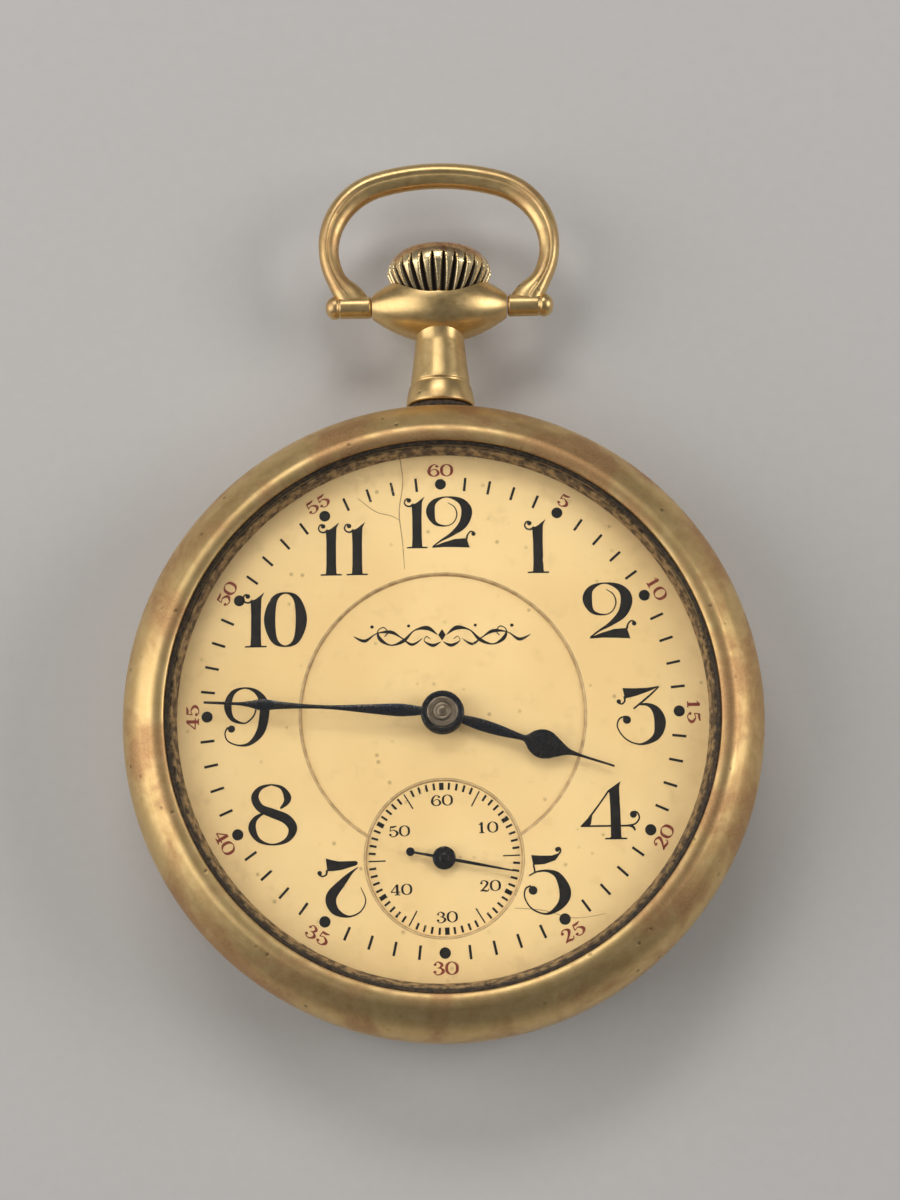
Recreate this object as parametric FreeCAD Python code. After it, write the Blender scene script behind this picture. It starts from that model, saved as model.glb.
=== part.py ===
"""An open face pocket watch, 16 size: a round case with a screwed pendant, bow and crown, and inside it
a complete going movement with winding work, motion work and a straight line lever escapement.

Millimetres. The watch lies on its back: +Z is the way the dial faces and +Y points to twelve o'clock.
The origin is the centre of the flat that the case back rests on, on the axis of the hands."""

import FreeCAD
import Part
import math
import os

V = FreeCAD.Vector
ORIGIN = V(0, 0, 0)
X, Y, Z = V(1, 0, 0), V(0, 1, 0), V(0, 0, 1)

# ---------------------------------------------------------------- driving dimensions
RUN = 0.03          # radial running clearance of a pivot in its jewel or a wheel on its stud
SEAT = 0.02         # gap between pieces that are fitted together and don't turn

# case
CASE_R = 25.3       # outside radius of bezel, band and back
SKIRT_R = 24.25     # inside of the bezel's and the back's skirts
SPIGOT_R = 24.2     # outside of the band's spigots
BACK_SEAM = 3.6     # height of the seam between back and band
FRONT_SEAM = 7.5    # height of the seam between band and bezel
BACK_FLAT_R = 9.0   # flat that the watch lies on
BACK_WALL = 0.5
LIP_R = 21.35       # inside of the bezel's lip
LIP_Z = 11.6        # height of that lip
SIGHT_R = 20.85     # foot of the bezel's inner wall, where the dial starts to show
GLASS_TOP = 12.75
CAVITY_R = 21.8     # room for the movement's dial side
BELLY_R = 22.9      # room below the ledge
LEDGE_R = 20.9      # inside of the ledge that carries the movement
LEDGE_Z0, LEDGE_Z1 = 6.2, 7.2

# pendant, crown and bow, all about the stem's axis
STEM_Z = 5.4
BOW_Y = 34.65       # axis that the bow swings on
BALL_R = 3.15       # radius of the pendant's olive at its middle
BALL_X = 5.6        # half length of the olive
STUB_R = 0.9        # bow's cross pins
STUB_X = 9.4        # their outer ends
PIN_R = 0.6         # the thin end of a cross pin, which turns in the olive
CROWN_Y0, CROWN_Y1 = 35.0, 39.75
CROWN_R = 4.3
HUB_R = 2.2         # the pendant's tube, which the hollow crown slides over
FLUTES = 28
FLUTE_R = 0.34
BOW_R = 0.95        # radius of the bow's wire
BOW_SIDE = (3.4, 39.8, 5.8)   # centre x, centre y and radius of the bow's side bends
BOW_SIDE_TOP = 74.0             # degrees where a side bend meets the top bend
BOW_SIDE_END = -42.0            # degrees where a side bend meets its leg

# movement plates
PLATE_R = 20.85
PLATE_Z0, PLATE_Z1 = 6.2, 7.8
FLANGE_R = 21.6
BRIDGE_R = 20.6
BARREL_BRIDGE_Z0, BARREL_BRIDGE_Z1 = 2.9, 4.0
TRAIN_BRIDGE_Z0, TRAIN_BRIDGE_Z1 = 2.5, 3.6
COCK_Z0, COCK_Z1 = 1.7, 2.4
PALLET_BRIDGE_Z0, PALLET_BRIDGE_Z1 = 3.85, 4.35

# dial and hands
DIAL_R = 21.6
DIAL_Z0, DIAL_Z1 = 8.75, 9.2
DIAL_CENTRE_R = 11.16           # sunk centre
SECONDS_R = 6.1                 # sunk seconds dial
HOUR_Z, MINUTE_Z, SECONDS_Z = 9.75, 10.45, 9.5
HAND_T = 0.2
HOUR_ANGLE, MINUTE_ANGLE, SECONDS_ANGLE = 108.0, 273.0, 101.0   # degrees clockwise from twelve

# going train: teeth and modules
BARREL_T, CENTRE_PINION_T, BARREL_M = 80, 12, 0.2
CENTRE_T, THIRD_PINION_T, CENTRE_M = 80, 10, 0.15
THIRD_T, FOURTH_PINION_T, THIRD_M = 75, 10, 0.13
FOURTH_T, ESCAPE_PINION_T, FOURTH_M = 80, 8, 0.12
ESCAPE_T, ESCAPE_R = 15, 3.0
# motion work
CANNON_T, MINUTE_T, MOTION_M = 12, 36, 0.2
MINUTE_PINION_T, HOUR_T = 10, 40
SETTING_T = 24
# winding work
WIND_M, WIND_PINION_T, CROWN_WHEEL_T, RATCHET_T = 0.3, 13, 30, 38


def on_circle(radius, degrees, centre=(0.0, 0.0)):
    """A point at radius and degrees, anticlockwise from +X, about centre."""
    a = math.radians(degrees)
    return centre[0] + radius * math.cos(a), centre[1] + radius * math.sin(a)


def third_corner(a, b, from_a, from_b, side):
    """The point at these distances from a and b, to the left of the line a to b for side 1."""
    dx, dy = b[0] - a[0], b[1] - a[1]
    span = math.hypot(dx, dy)
    along = (from_a**2 - from_b**2 + span**2) / (2 * span)
    off = side * math.sqrt(from_a**2 - along**2)
    ux, uy = dx / span, dy / span
    return a[0] + along * ux - off * uy, a[1] + along * uy + off * ux


def bearing(a, b):
    """Degrees of the direction from a to b."""
    return math.degrees(math.atan2(b[1] - a[1], b[0] - a[0]))


# ---------------------------------------------------------------- where the arbors stand
CENTRE = (0.0, 0.0)
FOURTH = (0.0, -11.2)
BARREL = on_circle(BARREL_M * (BARREL_T + CENTRE_PINION_T) / 2, 145)
THIRD = third_corner(CENTRE, FOURTH, CENTRE_M * (CENTRE_T + THIRD_PINION_T) / 2,
                     THIRD_M * (THIRD_T + FOURTH_PINION_T) / 2, -1)
BALANCE = (9.9, -4.4)
ESCAPE = third_corner(FOURTH, BALANCE, FOURTH_M * (FOURTH_T + ESCAPE_PINION_T) / 2, 7.6, -1)
PALLET_SPAN = ESCAPE_R / math.cos(math.radians(30))
LINE = bearing(ESCAPE, BALANCE)                       # the lever's straight line
PALLET = on_circle(PALLET_SPAN, LINE, ESCAPE)
MOTION_SPAN = MOTION_M * (CANNON_T + MINUTE_T) / 2
PINION_M = 2 * MOTION_SPAN / (MINUTE_PINION_T + HOUR_T)
SETTING = (0.0, 9.8)
MINUTE = third_corner(CENTRE, SETTING, MOTION_SPAN, MOTION_M * (SETTING_T + MINUTE_T) / 2, -1)
CROWN_WHEEL = (0.0, BARREL[1] + math.sqrt((WIND_M * (CROWN_WHEEL_T + RATCHET_T) / 2) ** 2 - BARREL[0] ** 2))


# ---------------------------------------------------------------- shape helpers
def cylinder(radius, low, high, at=(0.0, 0.0)):
    """A cylinder along Z from low to high."""
    return Part.makeCylinder(radius, high - low, V(at[0], at[1], low), Z)


def tube(outer, inner, low, high, at=(0.0, 0.0)):
    return cylinder(outer, low, high, at).cut(cylinder(inner, low - 1, high + 1, at))


def rod(radius, low, high, z=STEM_Z, x=0.0):
    """A cylinder along Y."""
    return Part.makeCylinder(radius, high - low, V(x, low, z), Y)


def box(low, high):
    size = [b - a for a, b in zip(low, high)]
    return Part.makeBox(*size, V(*low))


def slab(points, low, high):
    """A flat plate of a closed outline of straight edges, from low to high."""
    wire = Part.makePolygon([V(x, y, low) for x, y in points] + [V(*points[0], low)])
    return Part.Face(wire).extrude(V(0, 0, high - low))


def bar(a, b, width, low, high, width_b=None):
    """A plate with round ends from point a to point b, which may taper."""
    width_b = width_b or width
    turn = math.radians(bearing(a, b))
    ux, uy = -math.sin(turn), math.cos(turn)
    half_a, half_b = width / 2, width_b / 2
    corners = [(a[0] + ux * half_a, a[1] + uy * half_a), (a[0] - ux * half_a, a[1] - uy * half_a),
               (b[0] - ux * half_b, b[1] - uy * half_b), (b[0] + ux * half_b, b[1] + uy * half_b)]
    ends = [cylinder(width / 2, low, high, a), cylinder(width_b / 2, low, high, b)]
    return slab(corners, low, high).multiFuse(ends).removeSplitter()


def edges_of(steps, point):
    """Edges through steps: a pair ends a straight edge, three pairs are an arc's start, middle and end."""
    made, last = [], None
    for step in steps:
        if isinstance(step[0], tuple):
            start, middle, end = (point(*p) for p in step)
            if last is not None and last.distanceToPoint(start) > 1e-7:
                made.append(Part.makeLine(last, start))
            made.append(Part.Arc(start, middle, end).toShape())
            last = end
        else:
            end = point(*step)
            if last is not None:
                made.append(Part.makeLine(last, end))
            last = end
    first = made[0].Vertexes[0].Point
    if last.distanceToPoint(first) > 1e-7:
        made.append(Part.makeLine(last, first))
    return made


def turned(steps, at=(0.0, 0.0)):
    """A piece turned about a vertical axis, from steps of (radius, height)."""
    wire = Part.Wire(edges_of(steps, lambda r, z: V(at[0] + r, at[1], z)))
    return Part.Face(wire).revolve(V(at[0], at[1], 0), Z, 360)


def turned_on_stem(steps):
    """A piece turned about the stem's axis, from steps of (radius, y)."""
    wire = Part.Wire(edges_of(steps, lambda r, y: V(r, y, STEM_Z)))
    return Part.Face(wire).revolve(V(0, 0, STEM_Z), Y, 360)


def cap(edge, pole):
    """An arc from edge, a (radius, height), to the pole height on the axis, for a part of a sphere."""
    radius, height = edge
    rise = pole - height
    sphere = (radius**2 + rise**2) / (2 * abs(rise))
    sink = math.copysign(sphere - math.sqrt(sphere**2 - radius**2 / 4), rise)
    return edge, (radius / 2, pole - sink), (0, pole)


def spin(shape, degrees, at=(0.0, 0.0)):
    turned_copy = shape.copy()
    turned_copy.rotate(V(at[0], at[1], 0), Z, degrees)
    return turned_copy


def all_round(shape, count, at=(0.0, 0.0), start=0.0):
    return [spin(shape, start + 360.0 * i / count, at) for i in range(count)]


# ---------------------------------------------------------------- gears
ADDENDUM, DEDENDUM = 0.85, 1.25      # in modules
TOOTH_SHARE = 0.44                   # of the pitch that a tooth fills, the rest is space and backlash


def tooth_ring(teeth, module, first, at, addendum=ADDENDUM):
    """The outline of a toothed wheel, with a tooth's middle at first degrees."""
    pitch_r = teeth * module / 2
    pitch = 360.0 / teeth
    half = TOOTH_SHARE * pitch / 2
    root, tip = pitch_r - DEDENDUM * module, pitch_r + addendum * module
    profile = [(root, -half * 1.05), (pitch_r, -half), (tip, -half * 0.45),
               (tip, half * 0.45), (pitch_r, half), (root, half * 1.05)]
    return [on_circle(r, first + k * pitch + a, at) for k in range(teeth) for r, a in profile]


def gear(teeth, module, low, high, at, first=0.0, bore=0.0, addendum=ADDENDUM):
    solid = slab(tooth_ring(teeth, module, first, at, addendum), low, high)
    return solid.cut(cylinder(bore, low - 1, high + 1, at)) if bore else solid


def crossed_out(solid, outer, inner, arms, arm_width, low, high, at, start=0.0):
    """Opens windows between a wheel's rim and its hub, and leaves the arms."""
    windows = tube(outer, inner, low - 0.5, high + 0.5, at)
    arm = box((at[0], at[1] - arm_width / 2, low - 1), (at[0] + outer + 1, at[1] + arm_width / 2, high + 1))
    for piece in all_round(arm, arms, at, start):
        windows = windows.cut(piece)
    return solid.cut(windows)


def meshing(first_a, teeth_a, a, teeth_b, b):
    """Angle for the first tooth of wheel b, to mesh with wheel a, whose first tooth is at first_a."""
    line = bearing(a, b)
    share = ((line - first_a) * teeth_a / 360.0) % 1.0
    return line + 180.0 + (share - 0.5) * 360.0 / teeth_b


def arbor(steps, at):
    """A turned arbor from (radius, low, high) steps, from one end to the other."""
    outline = [(0.0, steps[0][1])]
    for radius, low, high in steps:
        outline += [(radius, low), (radius, high)]
    outline.append((0.0, steps[-1][2]))
    return turned(outline, at)


def screw(at, low, high, head_r, head_low, head_high, shank_r):
    """A slotted cheese head screw along Z. Its head lies from head_low to head_high."""
    body = cylinder(shank_r, low, high, at).fuse(cylinder(head_r, head_low, head_high, at))
    slot = box((at[0] - head_r - 1, at[1] - head_r * 0.12, head_low - 1),
               (at[0] + head_r + 1, at[1] + head_r * 0.12, head_low + (head_high - head_low) * 0.45))
    return body.cut(slot)


# ---------------------------------------------------------------- case
def back_outside(radius):
    """Height of the back's outside, a shallow dome that starts level at the edge of the flat."""
    rim_r, rim_z = 24.6, 2.35
    dome = ((rim_r - BACK_FLAT_R) ** 2 + rim_z**2) / (2 * rim_z)
    return dome - math.sqrt(dome**2 - max(0.0, radius - BACK_FLAT_R) ** 2)


def case_back():
    mid, rim = 17.0, 24.6
    inner = SKIRT_R
    return turned([
        (0, 0), (BACK_FLAT_R, 0),
        ((BACK_FLAT_R, 0), (mid, back_outside(mid)), (rim, back_outside(rim))),
        ((rim, back_outside(rim)), (25.1, 3.0), (CASE_R - 0.05, BACK_SEAM - 0.03)),
        (inner, BACK_SEAM - 0.03), (inner, back_outside(inner) + BACK_WALL),
        ((inner, back_outside(inner) + BACK_WALL), (mid, back_outside(mid) + BACK_WALL),
         (BACK_FLAT_R, BACK_WALL)),
        (0, BACK_WALL)])


def case_band():
    """The band, with spigots for bezel and back, and the ledge that carries the movement."""
    spigot_low, spigot_high = back_outside(SPIGOT_R) + BACK_WALL + 0.1, 9.1
    side, belly = CASE_R - 0.05, CASE_R + 0.1
    ring = turned([
        (BELLY_R, spigot_low), (SPIGOT_R, spigot_low), (SPIGOT_R, BACK_SEAM), (side, BACK_SEAM),
        ((side, BACK_SEAM), (belly, (BACK_SEAM + FRONT_SEAM) / 2), (side, FRONT_SEAM)),
        (SPIGOT_R, FRONT_SEAM), (SPIGOT_R, spigot_high), (CAVITY_R, spigot_high), (CAVITY_R, LEDGE_Z1),
        (LEDGE_R, LEDGE_Z1), (LEDGE_R, LEDGE_Z0), (BELLY_R, LEDGE_Z0)])
    return ring.cut(rod(FOOT_R + SEAT, 20, 27))


def bezel():
    seam = FRONT_SEAM + 0.03
    floor = 9.3
    return turned([
        (SIGHT_R, floor), (SKIRT_R, floor), (SKIRT_R, seam), (CASE_R - 0.05, seam),
        ((CASE_R - 0.05, seam), (24.72, 10.25), (22.9, 11.85)),
        ((22.9, 11.85), (22.2, 12.02), (LIP_R, LIP_Z)),
        (LIP_R, 11.25), (21.8, 11.25), (21.8, 10.65), (21.15, 10.65), (SIGHT_R, floor + 0.15)])


def crystal():
    """A lenticular glass, sprung into the bezel's groove."""
    low, top, edge = 10.68, 11.22, 21.77
    under, over = cap((21.18, low), GLASS_TOP - 0.85)[::-1], cap((21.3, top), GLASS_TOP)
    return turned([under, (edge, low), (edge, top), over])


FOOT_R = 1.7            # the pendant's foot, which is soldered into the band
SLEEVE_R = 1.3          # outside of the sleeve that holds the stem


def pendant():
    """The pendant's foot, collar and neck, and the olive that carries the bow, in one piece."""
    neck = turned_on_stem([
        (0, 24.6), (2.4, 24.6), (2.4, 25.95), (2.78, 26.05), ((2.78, 26.05), (2.68, 26.9), (2.5, 27.7)),
        (2.32, 27.78), (2.32, 28.0), ((2.32, 28.0), (2.16, 30.0), (2.03, 31.6)),
        (HUB_R, 32.6), (HUB_R, 35.5), (0, 35.5)])
    neck = neck.cut(cylinder(CASE_R + 0.14, -1, 14)).fuse(rod(FOOT_R, 22.2, 27))
    foot, shoulder = STUB_R + 0.08, (BALL_X / 2, BALL_R * 0.75)
    profile = [((BALL_X, foot), shoulder, (0, BALL_R)),
               ((0, BALL_R), (-shoulder[0], shoulder[1]), (-BALL_X, foot)), (-BALL_X, 0), (BALL_X, 0)]
    wire = Part.Wire(edges_of(profile, lambda x, r: V(x, BOW_Y + r, STEM_Z)))
    olive = Part.Face(wire).revolve(V(0, BOW_Y, STEM_Z), X, 360)
    body = olive.cut(rod(HUB_R, 34, 40)).fuse(neck)
    low = CROWN_Y0 - 0.1
    seat = turned_on_stem([(HUB_R, low), (3.05, low), ((3.05, low), (3.75, 35.95), (CROWN_R + 0.12, 37.3)),
                           (CROWN_R + 0.12, 41), (HUB_R, 41)])
    bore = rod(SLEEVE_R + SEAT, 20, 41)
    holes = Part.makeCylinder(PIN_R + RUN, 20, V(-10, BOW_Y, STEM_Z), X)
    keep = Part.makeCylinder(3, 2 * PIN_END - 0.1, V(0.05 - PIN_END, BOW_Y, STEM_Z), X)
    return body.cut(seat).cut(bore).cut(holes.cut(keep))


PIN_END = 4.62          # inner end of a cross pin, from the stem's axis
STEM_R = 0.85


def pendant_sleeve():
    """The slotted sleeve in the neck, whose fingers hold the stem in its two positions."""
    bore, top = STEM_R + RUN, 34.6
    sleeve = turned_on_stem([(bore, 24.0), (SLEEVE_R, 24.0), (SLEEVE_R, top), (bore, top)])
    slot = box((-0.12, 23, STEM_Z - 3), (0.12, 28.5, STEM_Z + 3))
    cross = box((-3, 23, STEM_Z - 0.12), (3, 28.5, STEM_Z + 0.12))
    return sleeve.cut(slot).cut(cross)


def crown():
    """A hollow onion crown, narrow at its seat, fluted up to its dome."""
    body = turned_on_stem([
        (0, CROWN_Y0), (2.9, CROWN_Y0), ((2.9, CROWN_Y0), (3.66, 36.0), (CROWN_R, 37.3)),
        ((CROWN_R, 37.3), (4.08, 38.3), (3.2, 39.15)), cap((3.2, 39.15), CROWN_Y1)])
    path = [((2.86, 34.6), (3.84, 35.9), (4.46, 37.3)), ((4.46, 37.3), (4.42, 37.9), (4.16, 38.6))]
    wire = Part.Wire(edges_of(path, lambda r, y: V(r, y, STEM_Z))[:2])
    start = wire.Edges[0]
    direction = start.tangentAt(start.FirstParameter)
    ring = Part.Wire(Part.makeCircle(FLUTE_R, V(path[0][0][0], path[0][0][1], STEM_Z), direction))
    groove = wire.makePipeShell([ring], True, False)
    for i in range(FLUTES):
        cutter = groove.copy()
        cutter.rotate(V(0, 0, STEM_Z), Y, 360.0 * i / FLUTES)
        body = body.cut(cutter)
    hollow = rod(HUB_R + 0.1, 34, 35.8)
    return body.cut(hollow).cut(rod(STEM_R + SEAT, 34, STEM_TOP))


STEM_TOP = 37.6         # outer end of the case stem, inside the crown
ARBOR_HALF = 0.42       # half the side of the square on the winding arbor
STEM_END = 18.6         # inner end of the case stem at rest
LEVER_Y = 19.45         # groove for the setting lever's pin


def case_stem():
    """The stem that the crown is screwed to. Its inner end is a square socket on the winding arbor."""
    stem = rod(STEM_R, STEM_END, STEM_TOP)
    socket = box((-ARBOR_HALF - SEAT, STEM_END - 1, STEM_Z - ARBOR_HALF - SEAT),
                 (ARBOR_HALF + SEAT, STEM_END + 3.4, STEM_Z + ARBOR_HALF + SEAT))
    for y in (LEVER_Y, 24.4, 25.4):
        stem = stem.cut(rod(STEM_R + 1, y - 0.28, y + 0.28).cut(rod(0.72, y - 1, y + 1)))
    return stem.cut(socket)


def bow():
    """The bow: an oval of round wire whose legs stand on two cross pins with round ends."""
    cx, cy, radius = BOW_SIDE
    top_a, end_a = math.radians(BOW_SIDE_TOP), math.radians(BOW_SIDE_END)
    top_y = cy - cx * math.tan(top_a)
    top_radius = radius + cx / math.cos(top_a)
    joint = (cx + radius * math.cos(top_a), cy + radius * math.sin(top_a))
    widest = (cx + radius, cy)
    end = (cx + radius * math.cos(end_a), cy + radius * math.sin(end_a))
    top = V(0, top_y + top_radius, STEM_Z)

    def point(p, side):
        return V(p[0] * side, p[1], STEM_Z)

    wire = Part.Wire([
        Part.Arc(point(end, -1), point(widest, -1), point(joint, -1)).toShape(),
        Part.Arc(point(joint, -1), top, point(joint, 1)).toShape(),
        Part.Arc(point(joint, 1), point(widest, 1), point(end, 1)).toShape()])
    start = wire.OrderedEdges[0]
    ring = Part.Wire(Part.makeCircle(BOW_R, point(end, -1), start.tangentAt(start.FirstParameter)))
    loop = wire.makePipeShell([ring], True, False)
    parts = []
    for side in (-1, 1):
        foot = V(side * (end[0] - 0.1), BOW_Y, STEM_Z)
        knee = point(end, side)
        parts.append(Part.makeSphere(BOW_R, knee))
        parts.append(Part.makeCylinder(BOW_R, knee.distanceToPoint(foot) - 0.3, knee, foot - knee))
        inner, outer = BALL_X + 0.06, STUB_X - STUB_R
        parts.append(Part.makeCylinder(STUB_R, outer - inner, V(side * inner, BOW_Y, STEM_Z), X * side))
        parts.append(Part.makeSphere(STUB_R, V(side * outer, BOW_Y, STEM_Z)))
        pin = V(side * PIN_END, BOW_Y, STEM_Z)
        parts.append(Part.makeCylinder(PIN_R, BALL_X + 0.2 - PIN_END, pin, X * side))
    return loop.multiFuse(parts).removeSplitter()


# ---------------------------------------------------------------- movement plates
CROWN_PULL = 0.8
PIN_PLACE = (0.0, LEVER_Y)               # setting lever's pin, with the crown pushed in
SETTING_LEVER = (4.4, 18.4)              # its hinge
CLUTCH_LEVER = (4.2, 14.27)              # clutch lever's hinge
GROOVE_Y = 14.67                         # middle of the clutch's groove at rest
BALANCE_R = 7.5
FREE_R = 8.5                             # room kept clear for the balance and its screws
COCK_FOOT = (15.6, 7.3)
PALLET_FOOT = (10.2, -13.6)
CASE_SCREW_PLACES = [on_circle(19.9, a) for a in (125, 300)]
DIAL_FOOT_PLACES = [on_circle(18.6, a) for a in (15, 140, 320)]
BARREL_SCREW_PLACES = [on_circle(19.2, a) for a in (47, 165)]
TRAIN_SCREW_PLACES = [on_circle(19.2, a) for a in (205, 262)]
CLICK = on_circle(7.9, 200, BARREL)
BRIDGE_SCREW_R, SMALL_SCREW_R = 0.5, 0.35
PIVOT_R = 0.16
JEWEL_R = 0.65


def drilled(solid, places, radius, low=-1.0, high=14.0):
    return solid.cut(Part.makeCompound([cylinder(radius, low, high, at) for at in places]))


def ring_sector(inner, outer, first, last, low, high):
    """A piece of a ring about the middle of the watch, from first to last degrees."""
    ring = Part.makeCylinder(outer, high - low, V(0, 0, low), Z, last - first)
    return spin(ring, first).cut(cylinder(inner, low - 1, high + 1))


def main_plate():
    """The dial side plate, with its dial seat, the block that carries the winding arbor, and its sinks."""
    plate = cylinder(PLATE_R, PLATE_Z0, LEDGE_Z1).fuse(cylinder(FLANGE_R, LEDGE_Z1, PLATE_Z1))
    plate = plate.fuse(tube(FLANGE_R, 20.2, PLATE_Z1, DIAL_Z0 - 0.02))
    stem_block = cylinder(PLATE_R - 0.25, BARREL_BRIDGE_Z1, PLATE_Z0 + 0.1)
    stem_block = stem_block.common(box((-3.2, 17.3, 0), (3.2, 22, 9)))
    pilot_block = box((-1.4, 11.2, 4.3), (1.6, 12.4, PLATE_Z0 + 0.1))
    studs = [cylinder(0.4, 6.5, 8.5, MINUTE), cylinder(0.4, 6.5, 8.3, SETTING),
             cylinder(0.35, 6.5, 8.4, SETTING_LEVER), cylinder(0.35, 6.5, 8.4, CLUTCH_LEVER)]
    sinks = [cylinder(8.35, 5, 6.5, BARREL), cylinder(6.35, 5, 7.0), cylinder(1.1, 5, 7.15, THIRD),
             cylinder(2.75, 6.95, 9, SETTING), box((-2.25, 12.0, PLATE_Z0 - 0.1), (2.25, 17.3, 9)),
             box((-0.55, 19.05, 4), (0.55, 20.7, 9)), box((-1.3, 19.6, PLATE_Z1), (1.9, 22, 9)),
             rod(0.38, 11, 13), rod(1.2, 17, 22)]
    bores = [cylinder(0.65, 6, 9), cylinder(0.83, 6, 9, BARREL), cylinder(0.45, 6, 9, FOURTH)]
    for piece in (stem_block, pilot_block):
        plate = plate.fuse(piece)
    for cutter in sinks + bores:
        plate = plate.cut(cutter)
    plate = plate.multiFuse(studs).cut(cylinder(6.35, 5, 7.0)).cut(cylinder(8.35, 5, 6.5, BARREL))
    plate = drilled(plate, [THIRD, FOURTH, ESCAPE, PALLET, BALANCE], JEWEL_R + 0.01)
    plate = drilled(plate, CASE_SCREW_PLACES + [PALLET_FOOT], SMALL_SCREW_R + SEAT, 5, 7.3)
    plate = drilled(plate, DIAL_FOOT_PLACES, 0.37, 5, 9)
    screw_places = BARREL_SCREW_PLACES + TRAIN_SCREW_PLACES + [COCK_FOOT]
    return drilled(plate, screw_places, BRIDGE_SCREW_R + SEAT, 5, 7.1)


def over_plate(points, low, high):
    """A bridge's outline of straight edges, trimmed to the round of the plate and clear of the balance."""
    inside = slab(points, low, high).common(cylinder(BRIDGE_R, low, high))
    return inside.cut(cylinder(FREE_R, 0, 9, BALANCE))


def barrel_bridge():
    low, high = BARREL_BRIDGE_Z0, BARREL_BRIDGE_Z1
    bridge = over_plate([(-22, -5.5), (-6.5, -1.5), (-2.4, 2.4), (3.0, 2.6), (8.5, 5.5), (12.0, 9.5),
                         (22, 15), (22, 22), (-22, 22)], low, high)
    for first, last in ((40, 70), (152, 184)):
        bridge = bridge.fuse(ring_sector(17.9, BRIDGE_R, first, last, high - 0.1, PLATE_Z0))
    channel = tube(4.95, 3.8, low - 1, 3.72, CROWN_WHEEL)
    clutch_room = box((-2.0, 12.42, 3.55), (2.0, 15.9, 9))
    pinion_room = box((-2.3, 15.9, 0), (2.3, 17.2, 9))
    arbor_room = rod(1.22, 17.0, 22)
    for cutter in (channel, clutch_room, pinion_room, arbor_room):
        bridge = bridge.cut(cutter)
    bridge = drilled(bridge, [BARREL], 1.03)
    bridge = drilled(bridge, BARREL_SCREW_PLACES, BRIDGE_SCREW_R + SEAT)
    bridge = drilled(bridge, [CROWN_WHEEL, CLICK], SMALL_SCREW_R + SEAT)
    return drilled(bridge, CASE_SCREW_PLACES, 1.7)


def train_bridge():
    low, high = TRAIN_BRIDGE_Z0, TRAIN_BRIDGE_Z1
    bridge = over_plate([(-22, -6.1), (-6.3, -2.0), (-2.0, 2.05), (1.6, 2.05), (2.3, 0), (1, -8),
                         (3.5, -13.2), (5, -22), (-22, -22)], low, high)
    bridge = bridge.fuse(ring_sector(17.9, BRIDGE_R, 199, 272, high - 0.1, PLATE_Z0))
    bridge = drilled(bridge, [CENTRE, THIRD, FOURTH], JEWEL_R + 0.01)
    return drilled(bridge, TRAIN_SCREW_PLACES, BRIDGE_SCREW_R + SEAT)


def pallet_bridge():
    """The bridge under the balance that carries the escape wheel's and the lever's lower pivots."""
    low, high = PALLET_BRIDGE_Z0, PALLET_BRIDGE_Z1
    bridge = bar(PALLET_FOOT, ESCAPE, 2.4, low, high, 2.0)
    bridge = bridge.fuse(bar(PALLET_FOOT, PALLET, 2.4, low, high, 1.8))
    bridge = bridge.fuse(cylinder(1.2, low, PLATE_Z0, PALLET_FOOT))
    bridge = drilled(bridge, [ESCAPE, PALLET], 0.51)
    return drilled(bridge, [PALLET_FOOT], SMALL_SCREW_R + SEAT)


def balance_cock():
    cock = bar(COCK_FOOT, BALANCE, 5.0, COCK_Z0, COCK_Z1, 3.6)
    cock = cock.fuse(cylinder(2.5, COCK_Z0, PLATE_Z0, COCK_FOOT)).common(cylinder(BRIDGE_R, 0, 9))
    cock = drilled(cock, [BALANCE], JEWEL_R + 0.21)
    cock = drilled(cock, [COCK_FOOT], 1.25, 0, COCK_Z0 + 0.35)
    return drilled(cock, [COCK_FOOT], BRIDGE_SCREW_R + SEAT)


def jewel(at, low, high, outer=JEWEL_R, hole=PIVOT_R + RUN):
    return tube(outer, hole, low, high, at)


def plate_jewels():
    rings = [jewel(THIRD, 7.2, 7.7), jewel(FOURTH, 7.2, 7.7, JEWEL_R, 0.28), jewel(ESCAPE, 6.3, 6.8),
             jewel(PALLET, 6.3, 6.8), jewel(BALANCE, 6.3, 6.8)]
    return Part.makeCompound(rings)


def train_bridge_jewels():
    rings = [jewel(CENTRE, 2.6, 3.3, JEWEL_R, 0.43), jewel(THIRD, 2.6, 3.3), jewel(FOURTH, 2.6, 3.3)]
    return Part.makeCompound(rings)


def pallet_bridge_jewels():
    return Part.makeCompound([jewel(at, 3.88, 4.3, 0.5) for at in (ESCAPE, PALLET)])


def balance_jewels():
    """The hole jewel of the balance and the cap jewel under it, in a round setting."""
    setting = tube(JEWEL_R + 0.2, 0.5, 1.3, 2.3, BALANCE)
    hole_jewel = tube(0.49, 0.14, 1.85, 2.2, BALANCE)
    cap_jewel = cylinder(0.49, 1.4, 1.72, BALANCE)
    return Part.makeCompound([setting, hole_jewel, cap_jewel])


def bridge_screws():
    screws = []
    for at in BARREL_SCREW_PLACES:
        screws.append(screw(at, 2.5, 7.0, 1.1, 2.45, BARREL_BRIDGE_Z0 - 0.01, BRIDGE_SCREW_R))
    for at in TRAIN_SCREW_PLACES:
        screws.append(screw(at, 2.1, 7.0, 1.1, 2.05, TRAIN_BRIDGE_Z0 - 0.01, BRIDGE_SCREW_R))
    screws.append(screw(COCK_FOOT, 1.8, 7.0, 1.2, 1.66, COCK_Z0 + 0.34, BRIDGE_SCREW_R))
    screws.append(screw(PALLET_FOOT, 3.5, 7.2, 0.75, 3.45, PALLET_BRIDGE_Z0 - 0.01, SMALL_SCREW_R))
    screws.append(screw(CLICK, 2.0, 3.7, 0.9, 1.9, 2.27, SMALL_SCREW_R))
    return Part.makeCompound(screws)


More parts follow.
